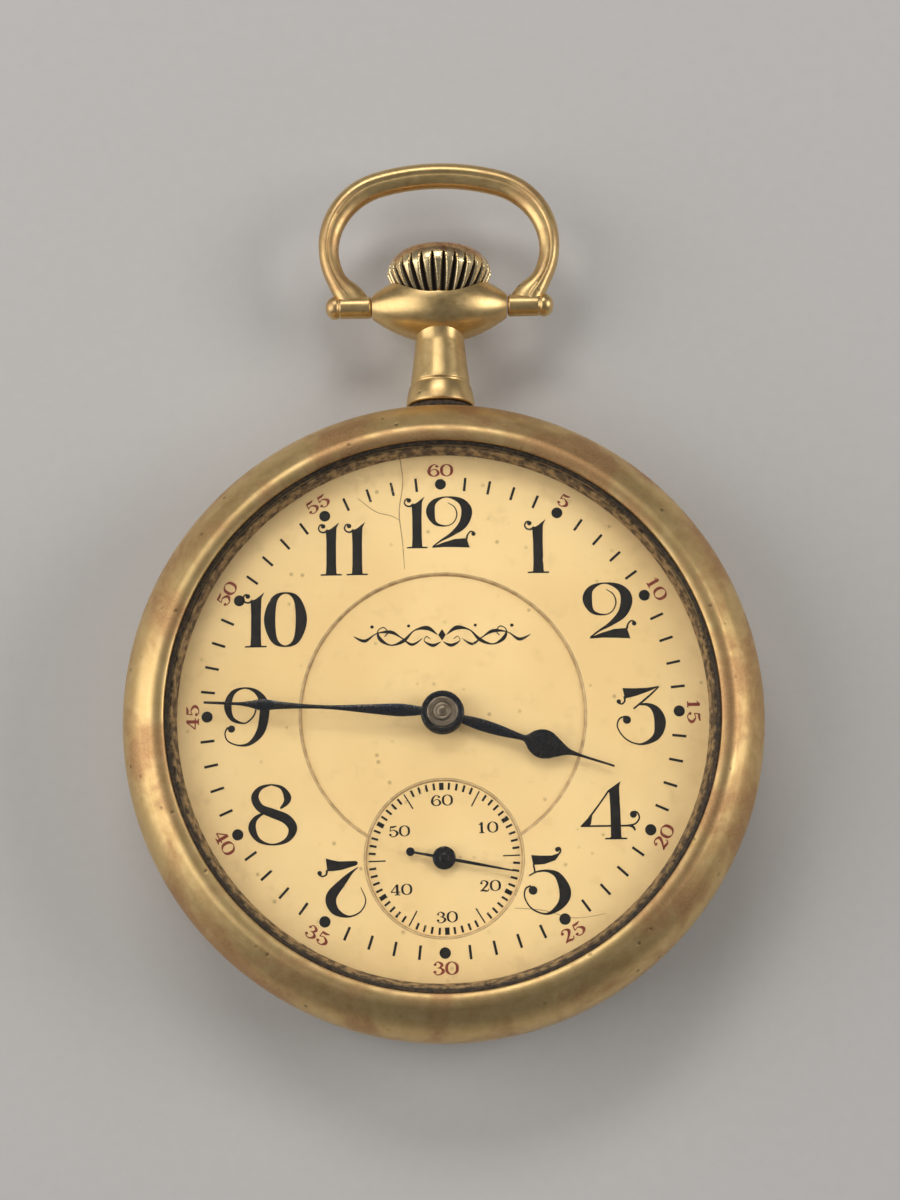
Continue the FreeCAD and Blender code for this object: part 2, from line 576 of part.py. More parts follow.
def case_screws():
    screws = [screw(at, 5.8, 7.2, 1.3, 5.7, 6.18, SMALL_SCREW_R) for at in CASE_SCREW_PLACES]
    return Part.makeCompound(screws)


# ---------------------------------------------------------------- going train
CENTRE_FIRST = 0.0
BARREL_FIRST = meshing(5.0, CENTRE_PINION_T, CENTRE, BARREL_T, BARREL)
THIRD_PINION_FIRST = meshing(CENTRE_FIRST, CENTRE_T, CENTRE, THIRD_PINION_T, THIRD)
FOURTH_PINION_FIRST = meshing(0.0, THIRD_T, THIRD, FOURTH_PINION_T, FOURTH)
ESCAPE_PINION_FIRST = meshing(0.0, FOURTH_T, FOURTH, ESCAPE_PINION_T, ESCAPE)
MINUTE_FIRST = meshing(0.0, CANNON_T, CENTRE, MINUTE_T, MINUTE)
SETTING_FIRST = meshing(MINUTE_FIRST, MINUTE_T, MINUTE, SETTING_T, SETTING)
HOUR_FIRST = meshing(0.0, MINUTE_PINION_T, MINUTE, HOUR_T, CENTRE)


def barrel_drum():
    """The toothed barrel, open towards the back."""
    drum = cylinder(7.6, 4.15, 6.4, BARREL).fuse(gear(BARREL_T, BARREL_M, 5.2, 5.7, BARREL, BARREL_FIRST))
    drum = drum.cut(cylinder(7.3, 4.0, 6.1, BARREL))
    return drilled(drum, [BARREL], 0.83)


def barrel_cover():
    return tube(7.28, 1.03, 4.17, 4.42, BARREL)


def spiral_strip(at, inner, outer, turns, thickness, low, high, start=0.0, steps=36):
    """A flat strip coiled from inner to outer radius, with straight facets."""
    count = int(turns * steps)
    sides = []
    for half in (-thickness / 2, thickness / 2):
        radii = [inner + (outer - inner) * i / count + half for i in range(count + 1)]
        sides.append([on_circle(r, start + 360.0 * i / steps, at) for i, r in enumerate(radii)])
    return slab(sides[0] + sides[1][::-1], low, high)


def mainspring():
    return spiral_strip(BARREL, 3.4, 7.1, 11, 0.18, 4.6, 5.95)


def barrel_arbor():
    """The barrel's arbor, with the square that the ratchet wheel sits on."""
    steps = arbor([(1.0, 2.9, 4.55), (1.5, 4.55, 5.98), (0.8, 5.98, 7.6)], BARREL)
    x, y = BARREL
    square = box((x - 0.6, y - 0.6, 2.32), (x + 0.6, y + 0.6, 3.0))
    return steps.fuse(square).cut(cylinder(0.37, 2, 3.8, BARREL))


def center_wheel():
    """The centre wheel with its pinion, on the arbor that carries the cannon pinion through the plate."""
    steps = [(0.4, 2.55, 3.65), (0.9, 3.65, 6.1), (1.25, 6.1, 6.9), (0.62, 6.9, 7.8), (0.42, 7.8, 10.8)]
    body = arbor(steps, CENTRE)
    wheel = gear(CENTRE_T, CENTRE_M, 6.62, 6.85, CENTRE, CENTRE_FIRST)
    wheel = crossed_out(wheel, 5.1, 1.8, 4, 0.8, 6.62, 6.85, CENTRE, 45)
    return body.fuse(gear(CENTRE_PINION_T, BARREL_M, 4.85, 6.15, CENTRE, 5.0)).fuse(wheel)


def third_wheel():
    body = arbor([(PIVOT_R, 2.65, 3.7), (0.4, 3.7, 7.15), (PIVOT_R, 7.15, 7.65)], THIRD)
    wheel = gear(THIRD_T, THIRD_M, 4.6, 4.8, THIRD)
    wheel = crossed_out(wheel, 4.1, 1.2, 4, 0.6, 4.6, 4.8, THIRD, 20)
    hub = cylinder(0.9, 4.55, 4.95, THIRD)
    pinion = gear(THIRD_PINION_T, CENTRE_M, 6.3, 7.05, THIRD, THIRD_PINION_FIRST)
    return body.multiFuse([pinion, hub, wheel])


def fourth_wheel():
    """The fourth wheel turns once a minute, and its long pivot carries the seconds hand."""
    body = arbor([(PIVOT_R, 2.65, 3.7), (0.4, 3.7, 7.1), (0.25, 7.1, 9.55)], FOURTH)
    wheel = gear(FOURTH_T, FOURTH_M, 5.6, 5.8, FOURTH)
    wheel = crossed_out(wheel, 4.05, 1.1, 4, 0.6, 5.6, 5.8, FOURTH, 10)
    hub = cylinder(0.8, 5.45, 5.9, FOURTH)
    pinion = gear(FOURTH_PINION_T, THIRD_M, 4.4, 5.0, FOURTH, FOURTH_PINION_FIRST)
    return body.multiFuse([pinion, hub, wheel])


def escape_wheel():
    """The escape wheel has fifteen pointed teeth, which lean forward."""
    body = arbor([(PIVOT_R, 3.9, 4.4), (0.3, 4.4, 6.25), (PIVOT_R, 6.25, 6.75)], ESCAPE)
    lean = [(2.25, 0.0), (ESCAPE_R, -6.0), (ESCAPE_R - 0.08, -3.5), (2.5, 4.0), (2.25, 8.0)]
    outline = [on_circle(r, 360.0 * k / ESCAPE_T + a, ESCAPE) for k in range(ESCAPE_T) for r, a in lean]
    wheel = crossed_out(slab(outline, 4.9, 5.1), 1.8, 0.8, 4, 0.4, 4.9, 5.1, ESCAPE)
    return body.fuse(gear(ESCAPE_PINION_T, FOURTH_M, 5.4, 6.0, ESCAPE, ESCAPE_PINION_FIRST)).fuse(wheel)


STONE_PLACES = [on_circle(ESCAPE_R + 0.56, LINE + a, ESCAPE) for a in (-30, 30)]


def stone(at, side):
    """One of the lever's stones, which stands just clear of the escape wheel's teeth."""
    block = box((at[0] - 0.4, at[1] - 0.16, 4.86), (at[0] + 0.4, at[1] + 0.16, 5.14))
    return spin(block, LINE + 30 * side, at)


def pallet_stones():
    return Part.makeCompound([stone(at, side) for at, side in zip(STONE_PLACES, (-1, 1))])


def pallet_fork():
    """The lever: two arms for its stones, and a fork that faces the balance's roller."""
    body = arbor([(PIVOT_R, 3.9, 4.4), (0.28, 4.4, 6.25), (PIVOT_R, 6.25, 6.75)], PALLET)
    tip = on_circle(1.25, LINE + 180, BALANCE)
    lever = bar(PALLET, tip, 0.7, 4.9, 5.1, 0.44).fuse(cylinder(0.55, 4.9, 5.1, PALLET))
    notch_at = on_circle(1.02, LINE + 180, BALANCE)
    notch = box((notch_at[0] - 0.5, notch_at[1] - 0.16, 4), (notch_at[0] + 0.5, notch_at[1] + 0.16, 6))
    notch = spin(notch, LINE, notch_at)
    for at, side in zip(STONE_PLACES, (-1, 1)):
        end = on_circle(ESCAPE_R + 0.82, LINE + 30 * side, ESCAPE)
        slot = box((at[0] - 0.9, at[1] - 0.17, 4), (at[0] + 0.41, at[1] + 0.17, 6))
        lever = lever.fuse(bar(PALLET, end, 0.6, 4.9, 5.1, 0.8))
        lever = lever.cut(spin(slot, LINE + 30 * side, at)).cut(cylinder(ESCAPE_R + 0.24, 4, 6, ESCAPE))
    return lever.cut(notch).cut(cylinder(1.17, 4, 6, BALANCE)).fuse(body)


def balance_wheel():
    """The balance: a cut rim on two arms."""
    rim = tube(BALANCE_R, 6.85, 2.9, 3.55, BALANCE)
    x, y = BALANCE
    arms = box((x - 7, y - 0.55, 3.3), (x + 7, y + 0.55, 3.55)).common(cylinder(7, 3, 4, BALANCE))
    wheel = rim.fuse(spin(arms, LINE, BALANCE)).fuse(cylinder(1.0, 3.2, 3.55, BALANCE))
    gap = box((x + 6, y - 0.12, 2), (x + 9, y + 0.12, 4))
    wheel = wheel.cut(spin(gap, LINE + 12, BALANCE)).cut(spin(gap, LINE + 192, BALANCE))
    hole = Part.makeCylinder(0.16, 3, V(x + 6, y, 3.22), X)
    holes = [spin(hole, angle, BALANCE) for angle in TIMING_ANGLES]
    return wheel.cut(cylinder(0.42, 2, 4, BALANCE)).cut(Part.makeCompound(holes))


TIMING_ANGLES = [LINE + 26 + 180 * half + 20.5 * i for half in (0, 1) for i in range(8)]


def timing_screws():
    """The screws round the balance's rim that set its rate and poise."""
    x, y = BALANCE
    head = Part.makeCylinder(0.34, 0.55, V(x + BALANCE_R + 0.02, y, 3.22), X)
    one = head.fuse(Part.makeCylinder(0.15, 0.6, V(x + BALANCE_R - 0.5, y, 3.22), X))
    one = one.cut(box((x + BALANCE_R + 0.42, y - 0.05, 2), (x + 10, y + 0.05, 4)))
    return Part.makeCompound([spin(one, angle, BALANCE) for angle in TIMING_ANGLES])


def balance_staff():
    """The staff with the hairspring's collet, the roller and its pin."""
    steps = [(0.1, 1.76, 2.35), (0.6, 2.5, 2.85), (0.4, 2.85, 3.85), (0.28, 3.85, 6.25),
             (PIVOT_R, 6.25, 6.75)]
    body = arbor(steps, BALANCE)
    roller = cylinder(1.25, 5.2, 5.4, BALANCE)
    pin = cylinder(0.11, 4.85, 5.25, on_circle(1.0, LINE + 180, BALANCE))
    return body.fuse(roller).fuse(pin)


HAIR_TURNS, HAIR_IN, HAIR_OUT = 8, 0.8, 3.04
STUD_ANGLE = bearing(COCK_FOOT, BALANCE) + 60         # where the hairspring ends
CURB_ANGLE = STUD_ANGLE - 45                          # where the regulator's pins stand
CURB_R = HAIR_OUT - (HAIR_OUT - HAIR_IN) * 45 / (360.0 * HAIR_TURNS)


def hairspring():
    start = STUD_ANGLE - 360.0 * HAIR_TURNS
    return spiral_strip(BALANCE, HAIR_IN, HAIR_OUT, HAIR_TURNS, 0.07, 2.55, 2.8, start)


def hairspring_stud():
    """The stud that holds the hairspring's outer end, and the arm that carries it from the cock."""
    place = on_circle(HAIR_OUT + 0.3, STUD_ANGLE, BALANCE)
    arm = bar(on_circle(2.2, STUD_ANGLE, BALANCE), place, 0.7, 1.35, 1.59)
    inner = on_circle(1.5, STUD_ANGLE, BALANCE)
    arm = arm.fuse(bar(inner, place, 0.7, 1.35, 1.59)).cut(cylinder(1.75, 0, 3, BALANCE))
    post = cylinder(0.25, 1.5, 2.85, on_circle(HAIR_OUT + 0.3, STUD_ANGLE, BALANCE))
    return arm.fuse(post).cut(bar(COCK_FOOT, BALANCE, 5.0, COCK_Z0 - 0.005, COCK_Z1, 3.62))


def regulator():
    """The regulator: a ring round the cap jewel, a long index, and a short tail with two curb pins."""
    index = bar(BALANCE, on_circle(6.5, CURB_ANGLE + 180, BALANCE), 0.7, 1.3, 1.57, 0.2)
    tail = bar(BALANCE, on_circle(CURB_R, CURB_ANGLE, BALANCE), 0.7, 1.3, 1.57, 0.6)
    body = index.fuse(tail).fuse(cylinder(1.45, 1.3, 1.57, BALANCE))
    body = body.cut(cylinder(JEWEL_R + 0.23, 0, 3, BALANCE))
    places = [on_circle(CURB_R + step, CURB_ANGLE, BALANCE) for step in (-0.12, 0.12)]
    pins = [cylinder(0.05, 1.5, 2.85, at) for at in places]
    return body.multiFuse(pins)


# ---------------------------------------------------------------- motion work
def cannon_pinion():
    body = cylinder(0.8, 8.2, 10.28).fuse(cylinder(0.62, 10.28, 10.78))
    return body.fuse(gear(CANNON_T, MOTION_M, 7.88, 8.22, CENTRE)).cut(cylinder(0.44, 7, 11))


def minute_wheel():
    wheel = gear(MINUTE_T, MOTION_M, 7.9, 8.15, MINUTE, MINUTE_FIRST)
    wheel = wheel.fuse(gear(MINUTE_PINION_T, PINION_M, 8.15, 8.5, MINUTE))
    return drilled(wheel, [MINUTE], 0.43)


def hour_wheel():
    wheel = gear(HOUR_T, PINION_M, 8.26, 8.46, CENTRE, HOUR_FIRST)
    return wheel.fuse(cylinder(1.12, 8.26, 10.05)).cut(cylinder(0.84, 8, 11))


def setting_wheel():
    return gear(SETTING_T, MOTION_M, 7.1, 8.15, SETTING, SETTING_FIRST, 0.43)


# ---------------------------------------------------------------- winding work
def winding_arbor():
    """The arbor in the movement: a pilot, a square for the clutch, a round for the pinion, a square end."""
    body = turned_on_stem([(0, 11.3), (0.35, 11.3), (0.35, 12.5), (0.7, 12.5), (0.7, 17.35),
                           (1.15, 17.35), (1.15, 18.4), (0, 18.4)])
    flats = rod(2, 12.5, 16.0).cut(box((-0.5, 12, STEM_Z - 0.5), (0.5, 17, STEM_Z + 0.5)))
    outer = box((-ARBOR_HALF, 18.3, STEM_Z - ARBOR_HALF), (ARBOR_HALF, 21.8, STEM_Z + ARBOR_HALF))
    return body.cut(flats).fuse(outer)


def face_lugs(count, low, high, inner, outer, width, start):
    """Lugs on the end face of a piece that turns on the stem's axis."""
    lug = box((-width / 2, low, STEM_Z + inner), (width / 2, high, STEM_Z + outer))
    lugs = []
    for i in range(count):
        piece = lug.copy()
        piece.rotate(V(0, 0, STEM_Z), Y, start + 360.0 * i / count)
        lugs.append(piece)
    return lugs


def winding_pinion():
    flat = gear(WIND_PINION_T, WIND_M, 0, 0.95, CENTRE, 90.0, 0.0, 0.65)
    flat.rotate(ORIGIN, X, -90)
    flat.translate(V(0, 16.15, STEM_Z))
    return flat.multiFuse(face_lugs(6, 15.8, 16.2, 0.95, 1.5, 0.45, 0)).cut(rod(0.73, 15, 18))


def clutch():
    """The clutch slides on the arbor's square. Its lugs lock with the winding pinion's."""
    body = rod(1.75, 13.55, 15.65).cut(rod(2, GROOVE_Y - 0.28, GROOVE_Y + 0.28).cut(rod(1.2, 14, 16)))
    body = body.multiFuse(face_lugs(6, 15.6, 16.0, 0.95, 1.5, 0.45, 30))
    body = body.multiFuse(face_lugs(12, 13.25, 13.6, 1.2, 1.72, 0.35, 0))
    return body.cut(box((-0.53, 12, STEM_Z - 0.53), (0.53, 17, STEM_Z + 0.53)))


def crown_wheel():
    """The crown wheel: flat teeth for the ratchet wheel, and upright teeth for the winding pinion."""
    wheel = gear(CROWN_WHEEL_T, WIND_M, 2.3, 2.85, CROWN_WHEEL, CROWN_FIRST)
    ring = tube(4.7, 3.9, 2.84, 3.1, CROWN_WHEEL)
    x, y = CROWN_WHEEL
    tooth = box((x - 0.16, y + 4.13, 3.0), (x + 0.16, y + 4.66, 3.55))
    wheel = wheel.multiFuse([ring] + all_round(tooth, CROWN_WHEEL_T, CROWN_WHEEL, 180.0 / CROWN_WHEEL_T))
    return drilled(wheel, [CROWN_WHEEL], 0.83)


def ratchet_wheel():
    x, y = BARREL
    wheel = gear(RATCHET_T, WIND_M, 2.32, 2.83, BARREL, RATCHET_FIRST)
    wheel = wheel.cut(tube(4.6, 3.9, 2.0, 2.42, BARREL))
    return wheel.cut(box((x - 0.62, y - 0.62, 2), (x + 0.62, y + 0.62, 4)))


CROWN_FIRST = 0.0
RATCHET_FIRST = meshing(CROWN_FIRST, CROWN_WHEEL_T, CROWN_WHEEL, RATCHET_T, BARREL)


def ratchet_screw():
    return screw(BARREL, 1.9, 3.7, 1.6, 1.85, 2.29, SMALL_SCREW_R)


def crown_wheel_screw():
    """A shouldered screw that the crown wheel turns on."""
    pin = cylinder(0.8, 2.2, 2.89, CROWN_WHEEL)
    return screw(CROWN_WHEEL, 1.9, 3.5, 1.6, 1.85, 2.27, SMALL_SCREW_R).fuse(pin)


def click():
    """The click, whose beak stands just clear of the ratchet wheel's teeth."""
    tip = on_circle(6.25, 218, BARREL)
    body = bar(CLICK, tip, 1.5, 2.35, 2.8, 0.3)
    body = body.cut(cylinder(RATCHET_TIP + 0.04, 2, 4, BARREL))
    return drilled(body, [CLICK], SMALL_SCREW_R + RUN)


RATCHET_TIP = WIND_M * (RATCHET_T / 2 + ADDENDUM)


def click_spring():
    """A curved steel wire spring that leans on the click's outer side, with a foot set in the bridge."""
    wedge = slab([BARREL, on_circle(14, 196, BARREL), on_circle(14, 226, BARREL)], 2, 3)
    arc = tube(9.35, 9.2, 2.4, 2.7, BARREL).common(wedge)
    return arc.fuse(bar(on_circle(10.1, 221, BARREL), on_circle(9.3, 225, BARREL), 0.9, 2.35, 2.8, 0.4))


def lever_of(hinge, place, low, high, pin_low):
    """A flat lever on a stud, with a pin that reaches into a groove."""
    lever = bar(hinge, place, 1.3, low, high, 0.7).fuse(cylinder(0.2, pin_low, low + 0.1, place))
    return drilled(lever, [hinge], 0.35 + RUN)


def clutch_lever():
    return lever_of(CLUTCH_LEVER, (0.0, GROOVE_Y), 7.86, 8.16, 6.72)


def setting_lever():
    return lever_of(SETTING_LEVER, PIN_PLACE, 7.86, 8.16, 6.2)


# ---------------------------------------------------------------- dial and hands
def dial_ring():
    """The dial's outer ring. The centre and the seconds dial are sunk into holes in it."""
    disc = cylinder(DIAL_R, DIAL_Z0, DIAL_Z1)
    return disc.cut(cylinder(DIAL_CENTRE_R, 8, 10)).cut(cylinder(SECONDS_R, 8, 10, FOURTH))


def dial_center():
    disc = tube(DIAL_CENTRE_R - 0.02, 1.2, 8.62, 8.97)
    return disc.cut(cylinder(SECONDS_R, 8, 10, FOURTH))


def dial_seconds():
    return tube(SECONDS_R - 0.02, 0.5, 8.52, 8.85, FOURTH)


def dial_feet():
    return Part.makeCompound([cylinder(0.35, 6.7, DIAL_Z0, at) for at in DIAL_FOOT_PLACES])


def hand(side, boss_r, bore, low, at, clockwise, boss_top):
    """A flat hand. Its side is a smooth curve through (distance, half width) stations."""
    curves = []
    for sign in (-1, 1):
        curve = Part.BSplineCurve()
        curve.interpolate([V(at[0] + sign * w, at[1] + d, low) for d, w in side])
        curves.append(curve.toShape())
    ends = [Part.makeLine(curves[0].Vertexes[i].Point, curves[1].Vertexes[i].Point) for i in (0, -1)]
    wire = Part.Wire(Part.__sortEdges__(curves + ends))
    blade = Part.Face(wire).extrude(V(0, 0, HAND_T))
    body = blade.fuse(cylinder(boss_r, low, boss_top, at))
    return spin(body.cut(cylinder(bore, 8, 12, at)), -clockwise, at)


def hour_hand():
    side = [(0, 0.3), (1.3, 0.34), (3.0, 0.46), (4.6, 0.42), (6.75, 0.22), (7.2, 0.72), (8.3, 1.13),
            (9.3, 0.75), (10.3, 0.2), (11.2, 0.11), (12.6, 0.09), (13.95, 0.08)]
    return hand(side, 1.7, 1.14, HOUR_Z, CENTRE, HOUR_ANGLE, HOUR_Z + 0.3)


def minute_hand():
    side = [(0, 0.3), (1.4, 0.33), (2.5, 0.44), (3.6, 0.49), (6.0, 0.33), (8.8, 0.15), (11.0, 0.19),
            (12.8, 0.31), (14.0, 0.44), (14.9, 0.26), (15.8, 0.1), (17.2, 0.08), (18.6, 0.06)]
    return hand(side, 1.66, 0.64, MINUTE_Z, CENTRE, MINUTE_ANGLE, MINUTE_Z + 0.25)


def seconds_hand():
    side = [(-2.6, 0.3), (-2.0, 0.1), (0, 0.13), (2.0, 0.12), (5.5, 0.06)]
    blade = hand(side, 0.9, 0.27, SECONDS_Z - 0.2, FOURTH, SECONDS_ANGLE, SECONDS_Z)
    weight = cylinder(0.34, SECONDS_Z - 0.2, SECONDS_Z, on_circle(2.65, 270 - SECONDS_ANGLE, FOURTH))
    return blade.fuse(weight)


NODES = [
    case_band, pendant, pendant_sleeve, bezel, crystal, case_back, bow, crown, case_stem,
    main_plate, barrel_bridge, train_bridge, pallet_bridge, balance_cock, plate_jewels, train_bridge_jewels,
    pallet_bridge_jewels, balance_jewels, bridge_screws, case_screws,
    barrel_drum, barrel_cover, mainspring, barrel_arbor, center_wheel, third_wheel, fourth_wheel,
    escape_wheel, pallet_fork, pallet_stones, balance_wheel, timing_screws, balance_staff, hairspring,
    hairspring_stud, regulator,
    cannon_pinion, minute_wheel, hour_wheel, setting_wheel,
    winding_arbor, winding_pinion, clutch, crown_wheel, crown_wheel_screw, ratchet_wheel, ratchet_screw,
    click, click_spring, clutch_lever, setting_lever,
    dial_ring, dial_center, dial_seconds, dial_feet, hour_hand, minute_hand, seconds_hand]


def main():
    os.makedirs("parts", exist_ok=True)
    for node in NODES:
        shape = node()
        shape.exportStep("parts/" + node.__name__ + ".step")


main()
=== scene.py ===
"""An open face pocket watch in Blender 4.5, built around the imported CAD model.

The watch lies on its back: the dial faces +Z and twelve o'clock is +Y. Lengths here are in millimetres,
and shell_mesh() turns them into metres. Angles on the dial are degrees clockwise from twelve.
"""
import math
import random

import bmesh
import bpy
from mathutils import Euler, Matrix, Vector


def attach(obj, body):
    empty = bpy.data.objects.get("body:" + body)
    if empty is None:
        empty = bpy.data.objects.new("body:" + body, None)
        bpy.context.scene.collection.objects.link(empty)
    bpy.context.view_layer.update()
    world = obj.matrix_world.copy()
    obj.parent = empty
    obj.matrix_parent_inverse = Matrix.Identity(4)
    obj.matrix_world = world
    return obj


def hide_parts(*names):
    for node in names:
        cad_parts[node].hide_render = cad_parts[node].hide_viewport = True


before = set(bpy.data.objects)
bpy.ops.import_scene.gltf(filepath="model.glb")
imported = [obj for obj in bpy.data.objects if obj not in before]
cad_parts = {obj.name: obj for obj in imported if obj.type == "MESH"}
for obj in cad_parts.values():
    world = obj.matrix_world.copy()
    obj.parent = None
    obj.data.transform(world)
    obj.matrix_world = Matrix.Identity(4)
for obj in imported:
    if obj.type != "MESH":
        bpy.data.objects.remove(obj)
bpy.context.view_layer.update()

# ---- driving dimensions, in mm
MM = 0.001
ROUND = 256                      # steps round a turned piece

CASE_R = 25.25                   # outside of band and bezel at their seam
BELLY_BULGE = 0.15               # the band swells this much between its seams
SKIRT_R, SPIGOT_R = 24.25, 24.2  # inside of back and bezel, over the band's spigots
BACK_SEAM, FRONT_SEAM = 3.6, 7.5
SEAM_GAP = 0.03
BACK_FLAT_R, BACK_WALL = 9.0, 0.5
BACK_EDGE_R, BACK_RISE = 24.6, 2.35    # where the back's dome ends, and its height there
WELL_R, LEDGE_R = 22.9, 20.9     # the band's inside below the movement's ledge, and the ledge
MOUTH_R = 21.8                   # the band's and bezel's inside round the dial and the crystal
GROOVE_Z, GLASS_EDGE_Z = 10.65, (10.68, 11.22)
SIGHT_R, LIP_R, LIP_Z = 20.85, 21.6, 11.82       # the bezel's opening below and above the glass
GLASS_TOP, GLASS_R = 12.75, 21.3

STEM_Z = 5.4                     # height of the stem's axis above the floor
BOW_Y = 34.65                    # the pins' line, through the pendant's olive
BALL_X, BALL_R = 5.6, 3.15       # half length and largest radius of the olive
STUB_R, STUB_X = 0.91, 9.42      # radius of the bow's pins, and how far out they reach
HUB_R = 2.2                      # the pendant's tube inside the crown
CROWN_R, CROWN_Y0, CROWN_Y1 = 4.3, 35.0, 39.75
FLUTES, FLUTE_DEPTH = 28, 0.48
BOW_SIDE = (3.4, 39.8, 5.8)      # centre and radius of the bow's side arcs
BOW_SIDE_TOP, BOW_SIDE_END = 74.0, -42.0

RING_Z, CENTRE_Z, SECONDS_Z = 9.2, 8.97, 8.85      # tops of the dial's three enamel plates
CENTRE_R, SECONDS_R = 11.14, 6.1
SECONDS_AT = (0.0, -11.2)
SECONDS_TURN = -1.8              # the small dial was set a little askew
HOUR_HAND_Z, MINUTE_HAND_Z, SECONDS_HAND_Z = 9.75, 10.45, 9.3
HAND_T = 0.2
HOUR_ANGLE, MINUTE_ANGLE, SECONDS_ANGLE = 108.0, 273.0, 101.0
TRACK_R = 18.45                  # minute track
NUMERAL_R = 15.35                # middle of the hour numerals
RED_R = 19.6                     # middle of the red five-minute figures
INK_T = 0.012                    # thickness of the fired print

CAMERA_AT = (3.3, -23.32, 180.39)
CAMERA_TURN = (10.72, 1.0, -0.62)     # degrees
FLOOR_HALF, FLOOR_DROP = 2500.0, 0.05


# ---- curves and meshes
def smooth(points, steps=8, closed=False):
    """A Catmull-Rom curve through the points, which may carry extra numbers such as a width."""
    count = len(points)

    def point(i):
        return points[i % count] if closed else points[min(max(i, 0), count - 1)]

    line = []
    for i in range(count if closed else count - 1):
        near = [point(i + k) for k in (-1, 0, 1, 2)]
        for k in range(steps):
            t = k / steps
            line.append(tuple(
                0.5 * (2 * q + (r - p) * t + (2 * p - 5 * q + 4 * r - s) * t * t
                       + (3 * q - p - 3 * r + s) * t ** 3)
                for p, q, r, s in zip(*near)))
    line.append(tuple(points[0 if closed else -1]))
    return line


def arc(start, mid, end, steps=10):
    """Points from start to end on the circle through mid, start left out."""
    (ax, ay), (bx, by), (cx, cy) = start, mid, end
    d = 2 * (ax * (by - cy) + bx * (cy - ay) + cx * (ay - by))
    a2, b2, c2 = ax * ax + ay * ay, bx * bx + by * by, cx * cx + cy * cy
    ux = (a2 * (by - cy) + b2 * (cy - ay) + c2 * (ay - by)) / d
    uy = (a2 * (cx - bx) + b2 * (ax - cx) + c2 * (bx - ax)) / d
    radius = math.hypot(ax - ux, ay - uy)
    first = math.atan2(ay - uy, ax - ux)
    sweep = (math.atan2(cy - uy, cx - ux) - first) % (2 * math.pi)
    if (math.atan2(by - uy, bx - ux) - first) % (2 * math.pi) > sweep:
        sweep -= 2 * math.pi
    angles = [first + sweep * k / steps for k in range(1, steps + 1)]
    return [(ux + radius * math.cos(a), uy + radius * math.sin(a)) for a in angles]


def outline(*steps):
    """A profile from corners (r, z) and arcs; an arc is a (mid, end) pair, from the point before it."""
    line = [steps[0]]
    for step in steps[1:]:
        if isinstance(step[0], tuple):
            line += arc(line[-1], step[0], step[1])
        else:
            line.append(step)
    return line


def soften(line, radius, closed=True):
    """The same profile with its sharp corners rounded."""
    out = []
    count = len(line)
    for i, p in enumerate(line):
        a, b = Vector(line[i - 1]), Vector(line[(i + 1) % count])
        p = Vector(p)
        before, after = a - p, b - p
        end = not closed and i in (0, count - 1)
        if end or p.x < 1e-6 or before.length < 1e-6 or after.length < 1e-6:
            out.append(tuple(p))
            continue
        if before.angle(after) > math.radians(165):
            out.append(tuple(p))
            continue
        reach = min(radius, before.length * 0.45, after.length * 0.45)
        first, last = p + before.normalized() * reach, p + after.normalized() * reach
        for k in range(5):
            t = k / 4
            out.append(tuple(first * (1 - t) ** 2 + p * 2 * t * (1 - t) + last * t * t))
    return out


def shell_mesh(name, shell):
    """A smooth mesh from a shell, which is a list of vertices in mm and one of faces."""
    verts, faces = shell
    mesh = bpy.data.meshes.new(name)
    mesh.from_pydata([Vector(v) * MM for v in verts], [], faces)
    tidy = bmesh.new()
    tidy.from_mesh(mesh)
    bmesh.ops.recalc_face_normals(tidy, faces=tidy.faces)
    tidy.to_mesh(mesh)
    tidy.free()
    mesh.shade_smooth()
    return mesh


def add_object(name, data):
    made = bpy.data.objects.new(name, data)
    bpy.context.scene.collection.objects.link(made)
    return made


def piece(name, shell, material, body, replaced=(), sharp=40, grime=None):
    """One visible piece. The optional value for each vertex is for the material to read: how much dirt and
    painted shade the vertex shows.
    """
    mesh = shell_mesh(name, shell)
    mesh.set_sharp_from_angle(angle=math.radians(sharp))
    if grime:
        layer = mesh.attributes.new("grime", "FLOAT", "POINT")
        layer.data.foreach_set("value", grime)
    mesh.materials.append(material)
    made = add_object(name, mesh)
    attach(made, body)
    if replaced:
        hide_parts(*replaced)
    return made


def lathe(line, place=None, steps=ROUND, closed=True, wave=None, blunt=0.0):
    """A shell: a profile, its corners rounded by blunt, turned about an axis. place() gives each vertex."""
    if blunt:
        line = soften(line, blunt, closed)
    place = place or (lambda r, h, a: (r * math.cos(a), r * math.sin(a), h))
    verts, faces, rows = [], [], []
    for r, h in line:
        if r < 1e-6:
            rows.append([len(verts)])
            verts.append(place(0.0, h, 0.0))
            continue
        rows.append(list(range(len(verts), len(verts) + steps)))
        for k in range(steps):
            a = 2 * math.pi * k / steps
            verts.append(place(wave(r, h, a) if wave else r, h, a))
    pairs = list(zip(rows, rows[1:])) + ([(rows[-1], rows[0])] if closed else [])
    for one, two in pairs:
        if len(one) == 1 and len(two) == 1:
            continue
        for k in range(steps):
            j = (k + 1) % steps
            ring = [one[k % len(one)], one[j % len(one)], two[j % len(two)], two[k % len(two)]]
            faces.append(list(dict.fromkeys(ring)))
    return verts, faces


def about_stem(r, h, a):
    """Place of a lathe vertex turned about the stem's axis."""
    return (r * math.sin(a), h, STEM_Z + r * math.cos(a))


def about_pins(r, h, a):
    """Place of a lathe vertex turned about the bow's pins."""
    return (h, BOW_Y + r * math.cos(a), STEM_Z + r * math.sin(a))


def joined(*shells):
    """Several shells as one list of vertices and one of faces."""
    verts, faces = [], []
    for shell_verts, shell_faces in shells:
        base = len(verts)
        verts += shell_verts
        faces += [[i + base for i in face] for face in shell_faces]
    return verts, faces


